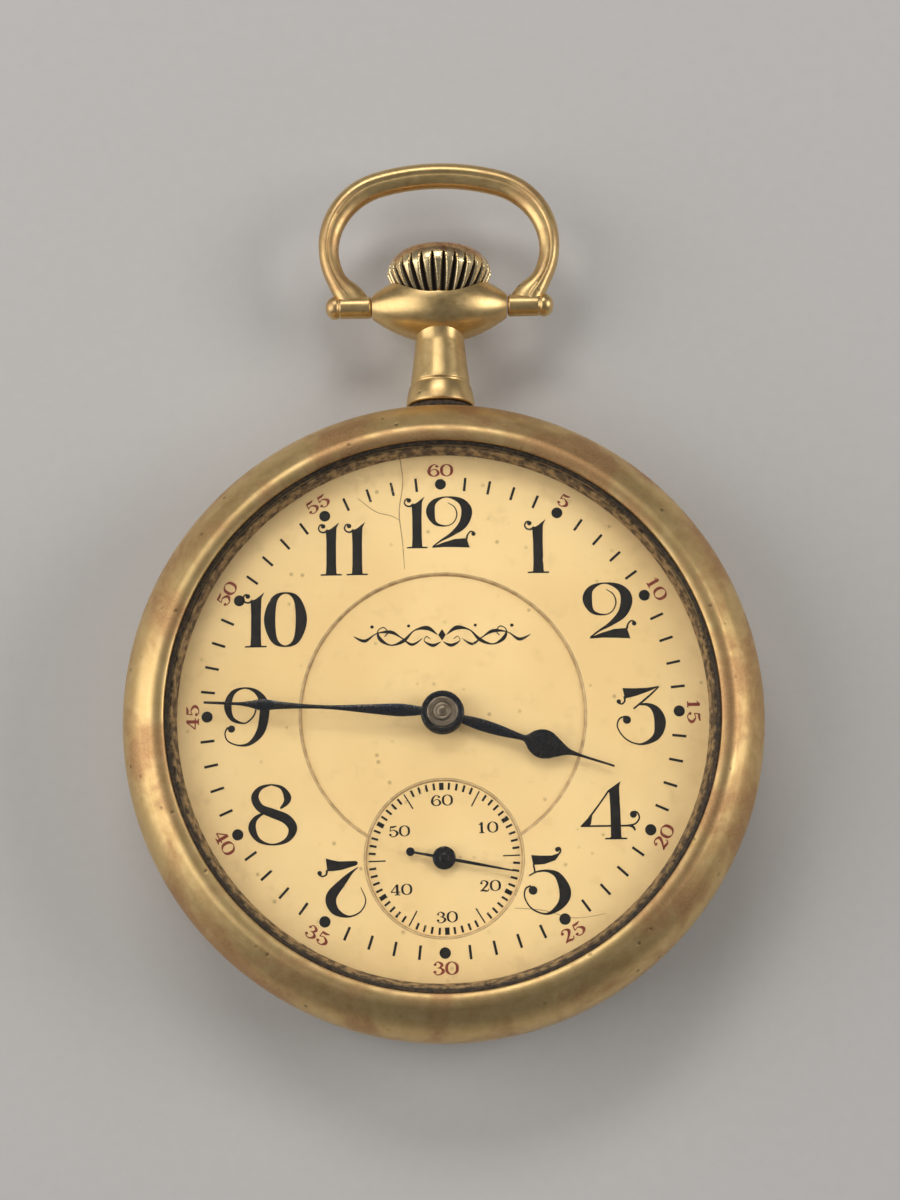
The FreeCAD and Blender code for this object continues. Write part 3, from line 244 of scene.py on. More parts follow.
def tube_faces(total, count):
    """Faces of a tube with total vertices, in rings of count each, its two ends closed."""
    faces = []
    for base in range(0, total - count, count):
        for k in range(count):
            j = (k + 1) % count
            faces.append([base + k, base + j, base + count + j, base + count + k])
    faces.append(list(range(count)))
    faces.append(list(range(total - count, total))[::-1])
    return faces


def boolean(target, cutter, operation):
    """Joins or cuts target with another shell."""
    other = add_object("cutter", shell_mesh("cutter", cutter))
    step = target.modifiers.new("step", "BOOLEAN")
    step.operation = operation
    step.solver = "EXACT"
    step.object = other
    bpy.context.view_layer.update()
    graph = bpy.context.evaluated_depsgraph_get()
    result = bpy.data.meshes.new_from_object(target.evaluated_get(graph))
    target.modifiers.clear()
    target.data = result
    bpy.data.objects.remove(other)
    result.set_sharp_from_angle(angle=math.radians(35))


def on_dial(radius, degrees, centre=(0.0, 0.0)):
    """A point on the dial, clockwise from twelve."""
    a = math.radians(degrees)
    return centre[0] + radius * math.sin(a), centre[1] + radius * math.cos(a)


def turned(x, y, clockwise, centre):
    """The point (x, y) turned by an angle in degrees, then moved from the origin to centre."""
    c, s = math.cos(math.radians(clockwise)), math.sin(math.radians(clockwise))
    return centre[0] + x * c + y * s, centre[1] - x * s + y * c


# ---- materials
class Paint:
    """A material whose nodes are made by short calls. Texture coordinates are in mm."""

    def __init__(self, name):
        self.material = bpy.data.materials.new(name)
        self.material.use_nodes = True
        self.tree = self.material.node_tree
        self.tree.nodes.clear()
        self.out = self.tree.nodes.new("ShaderNodeOutputMaterial")
        place = self.tree.nodes.new("ShaderNodeTexCoord").outputs["Object"]
        self.mm = self.node("ShaderNodeVectorMath", {0: place, 3: 1 / MM}, operation="SCALE")

    def node(self, kind, values, output=0, **settings):
        made = self.tree.nodes.new(kind)
        for key, value in settings.items():
            setattr(made, key, value)
        for key, value in values.items():
            if isinstance(value, bpy.types.NodeSocket):
                self.tree.links.new(value, made.inputs[key])
            elif made.inputs[key].type == "RGBA":
                made.inputs[key].default_value = (*value, 1)
            else:
                made.inputs[key].default_value = value
        return made.outputs[output]

    def math(self, operation, a, b):
        return self.node("ShaderNodeMath", {0: a, 1: b}, operation=operation)

    def plus(self, a, b):
        return self.math("ADD", a, b)

    def times(self, a, b):
        return self.math("MULTIPLY", a, b)

    def noise(self, scale, detail=3.0, rough=0.55, vector=None, warp=0.0):
        return self.node("ShaderNodeTexNoise", {
            "Vector": vector or self.mm, "Scale": scale, "Detail": detail, "Roughness": rough,
            "Distortion": warp})

    def stretched(self, scale, turn=(0.0, 0.0, 0.0)):
        """The coordinates squeezed by a factor on each axis, for scratches and grain."""
        turned = self.node("ShaderNodeMapping", {
            "Vector": self.mm, "Rotation": tuple(math.radians(t) for t in turn)})
        return self.node("ShaderNodeMapping", {"Vector": turned, "Scale": scale})

    def polar(self, along, across, centre=(0.0, 0.0)):
        """Coordinates that follow circles about a centre: squeezed along them, and finer across them."""
        middle = (centre[0], centre[1], 0.0)
        moved = self.node("ShaderNodeVectorMath", {0: self.mm, 1: middle}, operation="SUBTRACT")
        x, y, z = (self.node("ShaderNodeSeparateXYZ", {0: moved}, output=k) for k in range(3))
        flat = self.node("ShaderNodeCombineXYZ", {0: x, 1: y})
        radius = self.node("ShaderNodeVectorMath", {0: flat}, output=1, operation="LENGTH")
        unit = self.node("ShaderNodeVectorMath", {0: flat}, operation="NORMALIZE")
        ux, uy = (self.node("ShaderNodeSeparateXYZ", {0: unit}, output=k) for k in range(2))
        climb = self.plus(radius, self.times(z, 0.9))
        return self.node("ShaderNodeCombineXYZ", {
            0: self.times(ux, along), 1: self.times(uy, along),
            2: self.times(climb, across)})

    def ramp(self, value, low, high, start=0.0, end=1.0):
        """Value from low to high, spread over start to end and held there."""
        return self.node("ShaderNodeMapRange", {
            "Value": value, "From Min": low, "From Max": high, "To Min": start, "To Max": end},
            interpolation_type="SMOOTHSTEP")

    def mix(self, share, a, b):
        return self.node("ShaderNodeMix", {0: share, 6: a, 7: b}, output=2, data_type="RGBA")

    def specks(self, scale, size, keep, vector=None):
        """1 inside small round specks, 0 elsewhere; keep is the share of the cells that have one."""
        cells = self.tree.nodes.new("ShaderNodeTexVoronoi")
        cells.inputs["Scale"].default_value = scale
        self.tree.links.new(vector or self.mm, cells.inputs["Vector"])
        chosen = self.node("ShaderNodeSeparateColor", {0: cells.outputs["Color"]})
        inside = self.ramp(cells.outputs["Distance"], size, size * 0.4)
        return self.times(inside, self.math("LESS_THAN", chosen, keep))

    def bump(self, height, distance, strength=1.0, normal=None):
        """Relief: height 0 to 1 stands for distance in mm."""
        values = {"Height": height, "Distance": distance * MM, "Strength": strength}
        if normal:
            values["Normal"] = normal
        return self.node("ShaderNodeBump", values)

    def finish(self, **values):
        shader = self.node("ShaderNodeBsdfPrincipled", {k.replace("_", " "): v for k, v in values.items()})
        self.tree.links.new(shader, self.out.inputs[0])
        return self.material


def worn_gold(name, along=None, polish=0.24, warm=0.5, red=0.4, wave=0.02):
    """Rolled gold plate, rubbed smooth, with reddish worn patches, fine scratches and pits."""
    p = Paint(name)
    patches = p.ramp(p.noise(0.16, 4.0, 0.6, warp=0.4), 0.66 - red * 0.5, 0.86 - red * 0.5)
    mottle = p.noise(0.9, 5.0, 0.65)
    fine = p.noise(6.0, 4.0, 0.7)
    grain_space = p.polar(5.0, 30.0) if along is None else p.stretched(along)
    grain = p.noise(1.0, 3.0, 0.6, grain_space)
    nick_space = p.stretched((0.25, 7.0, 7.0), (0, 0, 38))
    nicks = p.ramp(p.noise(1.0, 2.0, 0.5, nick_space), 0.66, 0.74)
    pits = p.times(p.specks(1.1, 0.26, 0.3), p.ramp(p.noise(0.35, 2.0), 0.45, 0.6))
    gold = p.mix(p.ramp(mottle, 0.25, 0.75), (0.68, 0.47, 0.2), (0.79, 0.57, 0.27))
    copper = p.mix(p.ramp(fine, 0.3, 0.7), (0.4, 0.19, 0.085), (0.56, 0.32, 0.16))
    colour = p.mix(p.times(patches, warm), gold, copper)
    colour = p.mix(p.times(pits, 0.55), colour, (0.07, 0.045, 0.025))
    shine = p.ramp(grain, 0.3, 0.7, polish - 0.03, polish + 0.04)
    shine = p.plus(shine, p.ramp(patches, 0, 1, 0, 0.08))
    shine = p.plus(shine, p.ramp(mottle, 0.3, 0.8, -0.015, 0.025))
    relief = p.bump(grain, 0.0006)
    relief = p.bump(nicks, 0.004, normal=relief)
    relief = p.bump(p.math("SUBTRACT", p.times(mottle, wave / 0.02), pits), 0.02, normal=relief)
    return p.finish(Base_Color=colour, Metallic=1.0, Roughness=shine, Normal=relief)


def crown_gold(name):
    """Bright ribs and a coppery dome, darkened with dirt and painted shade where the mesh says that the
    flutes are deep.
    """
    p = Paint(name)
    shade_and_dirt = p.node("ShaderNodeAttribute", {}, output=2, attribute_name="grime")
    blot = p.noise(1.2, 4.0, 0.6)
    fine = p.noise(8.0, 3.0, 0.6)
    height = p.node("ShaderNodeSeparateXYZ", {0: p.mm}, output=1)
    copper = p.mix(p.ramp(blot, 0.4, 0.65), (0.66, 0.42, 0.2), (0.44, 0.22, 0.11))
    gold = p.mix(p.ramp(p.plus(height, blot), 38.2, 39.0), (0.9, 0.71, 0.4), copper)
    # Near-black dirt and painted shade, deepest at the bottom of the flutes and in the bore.
    dark = p.ramp(p.plus(shade_and_dirt, p.times(p.math("SUBTRACT", fine, 0.5), 0.1)), 0.14, 0.44)
    colour = p.mix(dark, gold, (0.03, 0.02, 0.012))
    shine = p.plus(p.ramp(dark, 0, 1, 0.27, 0.7), p.ramp(fine, 0.3, 0.7, -0.02, 0.04))
    return p.finish(Base_Color=colour, Metallic=p.ramp(dark, 0, 1, 1, 0.2), Roughness=shine,
                    Normal=p.bump(fine, 0.0005))


def enamel(name):
    """Fired cream enamel with brown freckles, soft stains, a faint ripple, and painted shade that darkens
    it towards its rim under the bezel.
    """
    p = Paint(name)
    wide = p.noise(0.09, 2.0, 0.5)
    cloud = p.noise(0.55, 5.0, 0.65)
    speck = p.specks(0.9, 0.2, 0.45)
    freckle = p.specks(2.6, 0.2, 0.1)
    colour = p.mix(p.ramp(wide, 0.3, 0.7), (0.86, 0.61, 0.285), (0.93, 0.68, 0.335))
    colour = p.mix(p.ramp(cloud, 0.54, 0.8, 0, 0.45), colour, (0.6, 0.38, 0.16))
    patchy = p.ramp(p.noise(0.3, 3.0), 0.46, 0.6)
    colour = p.mix(p.times(p.times(speck, patchy), 0.55), colour, (0.34, 0.21, 0.09))
    colour = p.mix(p.times(freckle, 0.22), colour, (0.3, 0.17, 0.07))
    # Painted shade: the enamel turns darker brown towards its rim, where the bezel overhangs it.
    from_middle = p.node("ShaderNodeVectorMath", {0: p.mm}, output=1, operation="LENGTH")
    edge = p.ramp(p.plus(from_middle, p.times(cloud, 4.0)), 22.6, 25.2, 0, 0.24)
    colour = p.mix(edge, colour, (0.5, 0.33, 0.17))
    shine = p.ramp(cloud, 0.3, 0.8, 0.16, 0.3)
    return p.finish(Base_Color=colour, Roughness=shine, Normal=p.bump(p.noise(0.8, 2.0), 0.006))


def sunk_enamel(name):
    """The rounded, grimy edge where one plate of the dial meets the next."""
    p = Paint(name)
    cloud = p.noise(1.6, 4.0, 0.6)
    colour = p.mix(p.ramp(cloud, 0.3, 0.7), (0.6, 0.41, 0.2), (0.38, 0.24, 0.11))
    return p.finish(Base_Color=colour, Roughness=p.ramp(cloud, 0.3, 0.7, 0.3, 0.5),
                    Normal=p.bump(cloud, 0.02))


def ink(name, dark, light):
    """Fired vitreous print, slightly uneven."""
    p = Paint(name)
    wear = p.noise(3.0, 4.0, 0.6)
    return p.finish(Base_Color=p.mix(p.ramp(wear, 0.35, 0.75), dark, light), Specular_IOR_Level=0.25,
                    Roughness=p.ramp(wear, 0.3, 0.7, 0.34, 0.48), Normal=p.bump(wear, 0.004))


def blued_steel(name):
    """Blued steel gone nearly black, with a dull blue sheen and specks of rust."""
    p = Paint(name)
    tone = p.noise(0.5, 3.0, 0.6)
    fine = p.noise(5.0, 4.0, 0.6)
    colour = p.mix(p.ramp(tone, 0.35, 0.65), (0.022, 0.025, 0.032), (0.036, 0.031, 0.026))
    colour = p.mix(p.times(p.specks(2.4, 0.2, 0.15), 0.6), colour, (0.1, 0.05, 0.025))
    return p.finish(Base_Color=colour, Metallic=0.85, Roughness=p.ramp(fine, 0.3, 0.7, 0.24, 0.36),
                    Normal=p.bump(fine, 0.003))


def turned_steel(name, dark, light, polish=0.3, centre=(0.0, 0.0)):
    """Turned metal with circular tool marks and a little tarnish."""
    p = Paint(name)
    rings = p.noise(1.0, 3.0, 0.6, p.polar(1.5, 26.0, centre))
    tarnish = p.noise(0.9, 4.0, 0.6)
    colour = p.mix(p.ramp(tarnish, 0.35, 0.7), light, dark)
    shine = p.ramp(rings, 0.3, 0.7, polish - 0.06, polish + 0.08)
    return p.finish(Base_Color=colour, Metallic=1.0, Roughness=shine, Normal=p.bump(rings, 0.003))


def damaskeened(name, centre):
    """Nickel plate finished with rows of arcs, as on a movement's bridges."""
    p = Paint(name)
    rows = p.node("ShaderNodeTexWave", {
        "Vector": p.polar(0.0, 1.0, centre), "Scale": 0.22, "Distortion": 0.35, "Detail": 1.0,
        "Detail Scale": 3.0}, output=1, bands_direction="Z")
    fine = p.noise(1.0, 3.0, 0.6, p.polar(3.0, 34.0, centre))
    haze = p.noise(0.4, 4.0, 0.6)
    colour = p.mix(p.ramp(haze, 0.35, 0.7), (0.72, 0.69, 0.63), (0.6, 0.56, 0.48))
    colour = p.mix(p.ramp(rows, 0.2, 0.8, 0, 0.25), colour, (0.46, 0.43, 0.38))
    shine = p.plus(p.ramp(rows, 0, 1, 0.2, 0.36), p.ramp(fine, 0.3, 0.7, -0.03, 0.05))
    return p.finish(Base_Color=colour, Metallic=1.0, Roughness=shine,
                    Normal=p.bump(fine, 0.003, normal=p.bump(rows, 0.01)))


def ruby(name):
    p = Paint(name)
    veil = p.noise(2.0, 3.0)
    return p.finish(Base_Color=p.mix(veil, (0.42, 0.012, 0.04), (0.62, 0.05, 0.09)), IOR=1.77,
                    Transmission_Weight=0.35, Roughness=p.ramp(veil, 0.3, 0.7, 0.06, 0.16))


def grime(name):
    """A near-black lumpy fill put into a groove: dirt and painted shade under the bezel's lip, a painted
    shadow under the pendant's collar.
    """
    p = Paint(name)
    lump = p.noise(3.0, 5.0, 0.7)
    colour = p.mix(p.ramp(lump, 0.4, 0.65), (0.016, 0.012, 0.008), (0.1, 0.065, 0.035))
    return p.finish(Base_Color=colour, Roughness=p.ramp(lump, 0.3, 0.7, 0.55, 0.9),
                    Normal=p.bump(lump, 0.08))


def sight_brass(name):
    """The bezel's inner wall under the glass: dull, blotched with dark tarnish."""
    p = Paint(name)
    blot = p.noise(1.5, 3.0, 0.6)
    colour = p.mix(p.ramp(blot, 0.36, 0.62), (0.36, 0.24, 0.11), (0.075, 0.045, 0.022))
    return p.finish(Base_Color=colour, Metallic=0.5, Roughness=p.ramp(blot, 0.3, 0.7, 0.42, 0.65),
                    Normal=p.bump(blot, 0.02))


def glass(name):
    """Clear glass with hair scratches; lamps shine through it."""
    p = Paint(name)
    across = p.noise(1.0, 2.0, 0.5, p.stretched((0.12, 5.0, 1.0), (0, 0, 24)))
    along = p.noise(1.0, 2.0, 0.5, p.stretched((5.0, 0.1, 1.0), (0, 0, 10)))
    hair = p.math("MAXIMUM", p.ramp(across, 0.7, 0.76), p.ramp(along, 0.71, 0.77))
    clear = p.node("ShaderNodeBsdfPrincipled", {
        "Base Color": (0.985, 0.99, 0.985), "Transmission Weight": 1.0, "IOR": 1.5,
        "Roughness": p.ramp(hair, 0, 1, 0.0, 0.1), "Normal": p.bump(hair, 0.0015)})
    through = p.node("ShaderNodeBsdfTransparent", {"Color": (0.94, 0.95, 0.94)})
    lamp = p.tree.nodes.new("ShaderNodeLightPath").outputs["Is Shadow Ray"]
    p.tree.links.new(p.node("ShaderNodeMixShader", {0: lamp, 1: clear, 2: through}), p.out.inputs[0])
    return p.material


CASE_GOLD = worn_gold("case_gold", polish=0.32, wave=0.005)
BEZEL_GOLD = worn_gold("bezel_gold", polish=0.42, red=0.5, warm=0.7, wave=0.006)
BOW_GOLD = worn_gold("bow_gold", along=(1.4, 6.0, 6.0), polish=0.36, red=0.45, wave=0.004)
PENDANT_GOLD = worn_gold("pendant_gold", along=(2.0, 4.0, 4.0), polish=0.34, red=0.3, wave=0.003)
CROWN_GOLD = crown_gold("crown_gold")
ENAMEL = enamel("enamel")
SUNK = sunk_enamel("sunk_enamel")
BLACK_INK = ink("black_ink", (0.007, 0.0055, 0.004), (0.018, 0.014, 0.01))
RED_INK = ink("red_ink", (0.2, 0.026, 0.014), (0.3, 0.07, 0.035))
CRACK_INK = ink("crack_line", (0.3, 0.19, 0.09), (0.46, 0.31, 0.16))
BLUED = blued_steel("blued_steel")
STEEL = turned_steel("polished_steel", (0.42, 0.38, 0.33), (0.66, 0.64, 0.6), 0.24)
HUB_STEEL = turned_steel("hub_steel", (0.13, 0.095, 0.06), (0.27, 0.22, 0.16), 0.4)
GILT = turned_steel("gilt_brass", (0.62, 0.42, 0.16), (0.86, 0.64, 0.3), 0.3)
SPRING_STEEL = turned_steel("hairspring_steel", (0.1, 0.13, 0.24), (0.16, 0.2, 0.34), 0.28)
PLATE_NICKEL = damaskeened("plate_nickel", (0.0, 0.0))
BRIDGE_NICKEL = damaskeened("bridge_nickel", (-9.0, 14.0))
RUBY = ruby("ruby")
SHADE_AND_GRIME = grime("grime")
SIGHT_BRASS = sight_brass("sight_brass")
GLASS = glass("glass")


# ---- case
def back_outside(radius):
    """Height of the back's dome, which passes through 30 % of its rise at radius 17."""
    width = BACK_EDGE_R - BACK_FLAT_R
    t = max(0.0, (radius - BACK_FLAT_R) / width)
    return BACK_RISE * t ** (math.log(0.3) / math.log((17.0 - BACK_FLAT_R) / width))


def case_back():
    steps = [BACK_FLAT_R + (BACK_EDGE_R - BACK_FLAT_R) * k / 20 for k in range(1, 21)]
    seam = BACK_SEAM - SEAM_GAP
    outer = [(0, 0), (BACK_FLAT_R, 0)] + [(r, back_outside(r)) for r in steps]
    outer += arc(outer[-1], (25.12, 3.0), (CASE_R - 0.02, seam))
    inner = [(SKIRT_R, seam)]
    inner += [(r, back_outside(r) + BACK_WALL) for r in reversed(steps) if r < SKIRT_R]
    inner += [(BACK_FLAT_R, BACK_WALL), (0, BACK_WALL)]
    shell = lathe(outer + inner, closed=False, blunt=0.08)
    piece("case_back_shell", shell, CASE_GOLD, "back", ["case_back"])


def case_band():
    low, high = back_outside(SPIGOT_R) + BACK_WALL + 0.1, 9.1
    line = outline(
        (WELL_R, low), (SPIGOT_R, low), (SPIGOT_R, BACK_SEAM), (CASE_R, BACK_SEAM),
        ((CASE_R + BELLY_BULGE, (BACK_SEAM + FRONT_SEAM) / 2), (CASE_R, FRONT_SEAM)),
        (SPIGOT_R, FRONT_SEAM), (SPIGOT_R, high), (MOUTH_R, high), (MOUTH_R, 7.2), (LEDGE_R, 7.2),
        (LEDGE_R, 6.2), (WELL_R, 6.2))
    band = piece("case_band_ring", lathe(line, blunt=0.09), CASE_GOLD, "case", ["case_band"])
    stem_hole = lathe([(0, 20), (1.72, 20), (1.72, 27), (0, 27)], about_stem, 64, False)
    boolean(band, stem_hole, "DIFFERENCE")


def bezel():
    """The bezel, with a dark ring of dirt and painted shade under its lip, and tarnish on its inner wall.
    """
    seam, floor = FRONT_SEAM + SEAM_GAP, 9.3
    ring = outline(
        (SIGHT_R, floor), (SKIRT_R, floor), (SKIRT_R, seam), (CASE_R, seam),
        ((24.72, 10.2), (23.0, 11.75)), ((22.3, 12.0), (LIP_R, LIP_Z)),
        (LIP_R, 11.25), (MOUTH_R, 11.25), (MOUTH_R, GROOVE_Z), (21.15, GROOVE_Z), (SIGHT_R, floor + 0.15))
    piece("bezel_ring", lathe(ring, steps=320, blunt=0.1), BEZEL_GOLD, "bezel", ["bezel"])
    shade_and_dirt = random.Random(4)
    lumps = [shade_and_dirt.uniform(-1, 1) for _ in range(97)]

    def lumpy(r, h, a):
        t = a / (2 * math.pi) * len(lumps)
        one, two = lumps[int(t) % len(lumps)], lumps[(int(t) + 1) % len(lumps)]
        return r + 0.05 * (one + (two - one) * (t % 1)) * (1 if r < LIP_R else 0)

    # A near-black lumpy ring in the crevice under the lip: dirt and painted shade.
    under_lip = [(21.24, 11.24), (21.66, 11.22), (21.66, 11.46), (21.46, 11.48)]
    shell = lathe(under_lip, steps=388, wave=lumpy, blunt=0.06)
    piece("bezel_lip_shade_and_grime", shell, SHADE_AND_GRIME, "bezel")
    wall = outline((20.78, 9.33), (20.93, 9.3), ((21.12, 9.9), (21.3, 10.62)), (21.3, 10.665),
                   (21.1, 10.665), ((20.92, 9.95), (20.78, 9.43)))
    piece("sight_ring_tarnish", lathe(wall, steps=320, blunt=0.03), SIGHT_BRASS, "bezel")


def cap(edge, pole, steps=24):
    """Points of a sphere's cap from its edge to the pole on the axis."""
    r, z = edge
    radius = (r * r + (pole - z) ** 2) / (2 * (pole - z))
    middle, span = pole - radius, math.asin(r / radius)
    angles = [span * (1 - k / steps) for k in range(steps + 1)]
    return [(radius * math.sin(a), middle + radius * math.cos(a)) for a in angles]


def crystal():
    low, high = GLASS_EDGE_Z
    outer, inner = cap((GLASS_R, high), GLASS_TOP), cap((21.18, low), GLASS_TOP - 0.85)
    line = outer[::-1] + [(MOUTH_R - 0.03, high), (MOUTH_R - 0.03, low)] + inner
    shell = lathe(line, steps=192, closed=False, blunt=0.05)
    piece("crystal_glass", shell, GLASS, "bezel", ["crystal"])


# ---- pendant, crown and bow
def pendant():
    """Neck and collar, with the olive that carries the bow's pins joined to them."""
    neck = outline(
        (0, 24.62), (2.4, 24.62), (2.4, 25.97), (2.74, 26.0), (2.82, 26.12), ((2.72, 26.9), (2.5, 27.72)),
        (2.36, 27.78), (2.36, 27.96), (2.43, 28.04), ((2.19, 30.0), (2.03, 31.6)), (2.1, 32.4),
        (HUB_R, 33.0), (HUB_R, 35.5), (0, 35.5))
    shell = lathe(neck, about_stem, 192, False, blunt=0.05)
    body = piece("pendant_body", shell, PENDANT_GOLD, "case", ["pendant"], sharp=35)
    case_bulk = lathe([(0, -1), (25.42, -1), (25.42, 14), (0, 14)], None, 256, False)
    boolean(body, case_bulk, "DIFFERENCE")
    half = outline((BALL_R, 0), ((BALL_R * 0.8, BALL_X / 2), (STUB_R + 0.07, BALL_X)))[1:]
    olive = [(0, -BALL_X), *[(r, -x) for r, x in reversed(half)], (BALL_R, 0), *half, (0, BALL_X)]
    boolean(body, lathe(olive, about_pins, 192, False, blunt=0.1), "UNION")
    low, rim = CROWN_Y0 - 0.1, CROWN_R + 0.12
    seat = outline((HUB_R, low), (3.05, low), ((3.75, 35.95), (rim, 37.3)), (rim, 41), (HUB_R, 41))
    boolean(body, lathe(seat, about_stem, 128), "DIFFERENCE")
    bore = lathe([(0, 20), (1.32, 20), (1.32, 42), (0, 42)], about_stem, 96, False)
    boolean(body, bore, "DIFFERENCE")
    # A near-black ring in the gap under the collar, where the collar overhangs the case: a painted shadow.
    shade_and_dirt = [(2.3, 25.46), (2.6, 25.46), (2.66, 25.75), (2.56, 25.96), (2.3, 25.96)]

    def lumpy(r, h, a):
        return r + 0.04 * math.sin(7 * a) * math.sin(3 * a + h)

    shell = lathe(shade_and_dirt, about_stem, 160, wave=lumpy, blunt=0.06)
    piece("pendant_foot_shadow", shell, SHADE_AND_GRIME, "case")


def crown():
    """The onion crown: ribs with dark V grooves between them, whose points end below a smooth dome."""
    rim, top = CROWN_Y0, 38.1
    side = outline((2.9, rim), ((3.66, 36.0), (CROWN_R, 37.3)), ((4.08, 38.3), (3.2, 39.15)),
                   ((1.7, 39.6), (0, CROWN_Y1)))
    dense = []
    for (r0, y0), (r1, y1) in zip(side, side[1:]):
        dense += [(r0 + (r1 - r0) * k / 3, y0 + (y1 - y0) * k / 3) for k in range(3)]
    bore = HUB_R + 0.1
    line = [(0, 35.8), (bore, 35.8), (bore, rim + 0.06), (bore + 0.06, rim)] + dense + [(0, CROWN_Y1)]

    def depth(h, a):
        """How deep the flutes are, 0 to 1."""
        t = (h - rim) / (top - rim)
        if t >= 1:
            return 0.0
        u = abs((a / (2 * math.pi) * FLUTES) % 1 - 0.5) * 2
        width = (1 - max(0.0, t)) ** 0.55
        return max(0.0, 1 - u / max(width, 1e-3)) if width > 0.02 else 0.0

    def fluted(r, h, a):
        return r - FLUTE_DEPTH * depth(h, a) if r > bore + 0.3 else r

    shell = lathe(line, about_stem, FLUTES * 16, False, fluted)
    # Per-vertex darkening for the material: dirt and painted shade in the bore and in the flutes, by their
    # depth.
    shade_and_dirt = []
    for x, y, z in shell[0]:
        r = math.hypot(x, z - STEM_Z)
        in_bore = r < bore + 0.1 and y < 36.0
        shade_and_dirt.append(0.6 if in_bore else depth(y, math.atan2(x, z - STEM_Z) % (2 * math.pi)))
    piece("crown_knob", shell, CROWN_GOLD, "crown", ["crown"], sharp=50, grime=shade_and_dirt)


def bow_path():
    """Middle line of the bow from the left pin over the top to the right one."""
    cx, cy, radius = BOW_SIDE
    top_a, end_a = math.radians(BOW_SIDE_TOP), math.radians(BOW_SIDE_END)
    top_y, top_radius = cy - cx * math.tan(top_a), radius + cx / math.cos(top_a)
    right = [(7.3, BOW_Y + 0.38), (7.34, BOW_Y + 0.6), (7.46, BOW_Y + 0.92)]
    for k in range(41):
        a = end_a + (top_a - end_a) * k / 40
        right.append((cx + radius * math.cos(a), cy + radius * math.sin(a)))
    for k in range(1, 15):
        a = top_a + (math.pi / 2 - top_a) * k / 14
        right.append((top_radius * math.cos(a), top_y + top_radius * math.sin(a)))
    return [(-x, y) for x, y in right[:-1]] + right[::-1]


def bow():
    """Ridged wire, wider at its feet, on two cross pins with round ends."""
    half = [(0.93, 0.0), (0.9, 0.3), (0.76, 0.6), (0.52, 0.8), (0.26, 0.87), (0.12, 0.84), (0.04, 0.74),
            (-0.06, 0.76), (-0.34, 0.7), (-0.66, 0.52), (-0.86, 0.26), (-0.9, 0.0)]
    section = half + [(n, -z) for n, z in reversed(half[1:-1])]
    path = bow_path()
    verts = []
    for i, (x, y) in enumerate(path):
        before, after = path[max(i - 1, 0)], path[min(i + 1, len(path) - 1)]
        along = Vector((after[0] - before[0], after[1] - before[1])).normalized()
        foot = max(0.0, 1 - (y - BOW_Y) / 2.6) ** 1.5
        topness = min(1.0, max(0.0, (y - 39.5) / 5.0))
        for n, z in section:
            wide = n * (0.9 + 0.27 * topness + foot * (0.95 if n < 0 else 0.8))
            verts.append((x - along.y * wide, y + along.x * wide, STEM_Z + z * (1 - 0.12 * foot)))
    shells = [(verts, tube_faces(len(verts), len(section)))]
    start = BALL_X + 0.06
    stub = outline(
        (0, start), (STUB_R - 0.12, start), (STUB_R, BALL_X + 0.2), (STUB_R - 0.02, 8.2),
        (STUB_R - 0.1, 8.32), (STUB_R + 0.02, 8.48), ((STUB_R - 0.12, 9.12), (0, STUB_X)))
    for side in (-1, 1):
        shells.append(lathe(stub, lambda r, h, a: about_pins(r, h * side, a), 64, False, blunt=0.06))
    piece("bow_loop_wire", joined(*shells), BOW_GOLD, "bow", ["bow"], sharp=60)


# ---- hands
def hand(name, side, at, low, clockwise, bosses, body, node):
    """A crowned blade through (distance, half width) stations, with turned bosses over it."""
    section = ((-1, 0.0), (-1, 0.62), (-0.55, 0.92), (0, 1.0), (0.55, 0.92), (1, 0.62), (1, 0.0))
    verts = []
    for d, w in smooth(side, 6):
        for n, z in section:
            verts.append((*turned(n * max(w, 0.02), d, clockwise, at), low + z * HAND_T))
    shells = [(verts, tube_faces(len(verts), len(section)))]
    for profile, centre in bosses:
        shells.append(lathe(profile, lambda r, h, a: (
            centre[0] + r * math.cos(a), centre[1] + r * math.sin(a), h), 72, blunt=0.05))
    piece(name, joined(*shells), BLUED, body, [node], sharp=32)


def hour_hand():
    side = [(1.0, 0.36), (1.6, 0.34), (3.0, 0.46), (4.6, 0.42), (6.3, 0.24), (6.75, 0.3), (7.2, 0.75),
            (7.75, 1.06), (8.3, 1.13), (8.85, 0.98), (9.5, 0.62), (10.3, 0.24), (11.2, 0.115),
            (12.6, 0.09), (13.95, 0.08)]
    z = HOUR_HAND_Z
    boss = [(1.14, z), (1.7, z), (1.7, z + 0.24), (1.62, z + 0.3), (1.14, z + 0.3)]
    hand("hour_hand_blade", side, (0, 0), z, HOUR_ANGLE, [(boss, (0, 0))], "hour_work", "hour_hand")


def minute_hand():
    side = [(1.2, 0.3), (1.5, 0.31), (2.5, 0.44), (3.6, 0.49), (6.0, 0.33), (8.8, 0.15), (11.0, 0.19),
            (12.8, 0.31), (14.0, 0.44), (14.9, 0.27), (15.8, 0.13), (17.2, 0.11), (18.6, 0.09)]
    z = MINUTE_HAND_Z
    boss = [(1.2, z), (1.66, z), (1.66, z + 0.15), (1.56, z + 0.26), (1.3, z + 0.26), (1.2, z + 0.2)]
    hand("minute_hand_blade", side, (0, 0), z, MINUTE_ANGLE, [(boss, (0, 0))], "centre", "minute_hand")
    top, cap = z + 0.29, z + 0.39
    dish = [(0, z + 0.02), (1.19, z + 0.02), (1.19, top - 0.04), (1.1, top), (0.8, top - 0.01),
            (0.73, top - 0.07), (0.66, top - 0.06), (0.645, cap), (0.52, cap + 0.03), (0.44, cap),
            (0.38, cap + 0.01), (0.28, cap + 0.06), (0, cap + 0.08)]
    shell = lathe(dish, steps=96, closed=False, blunt=0.03)
    piece("minute_hand_collet", shell, HUB_STEEL, "centre")


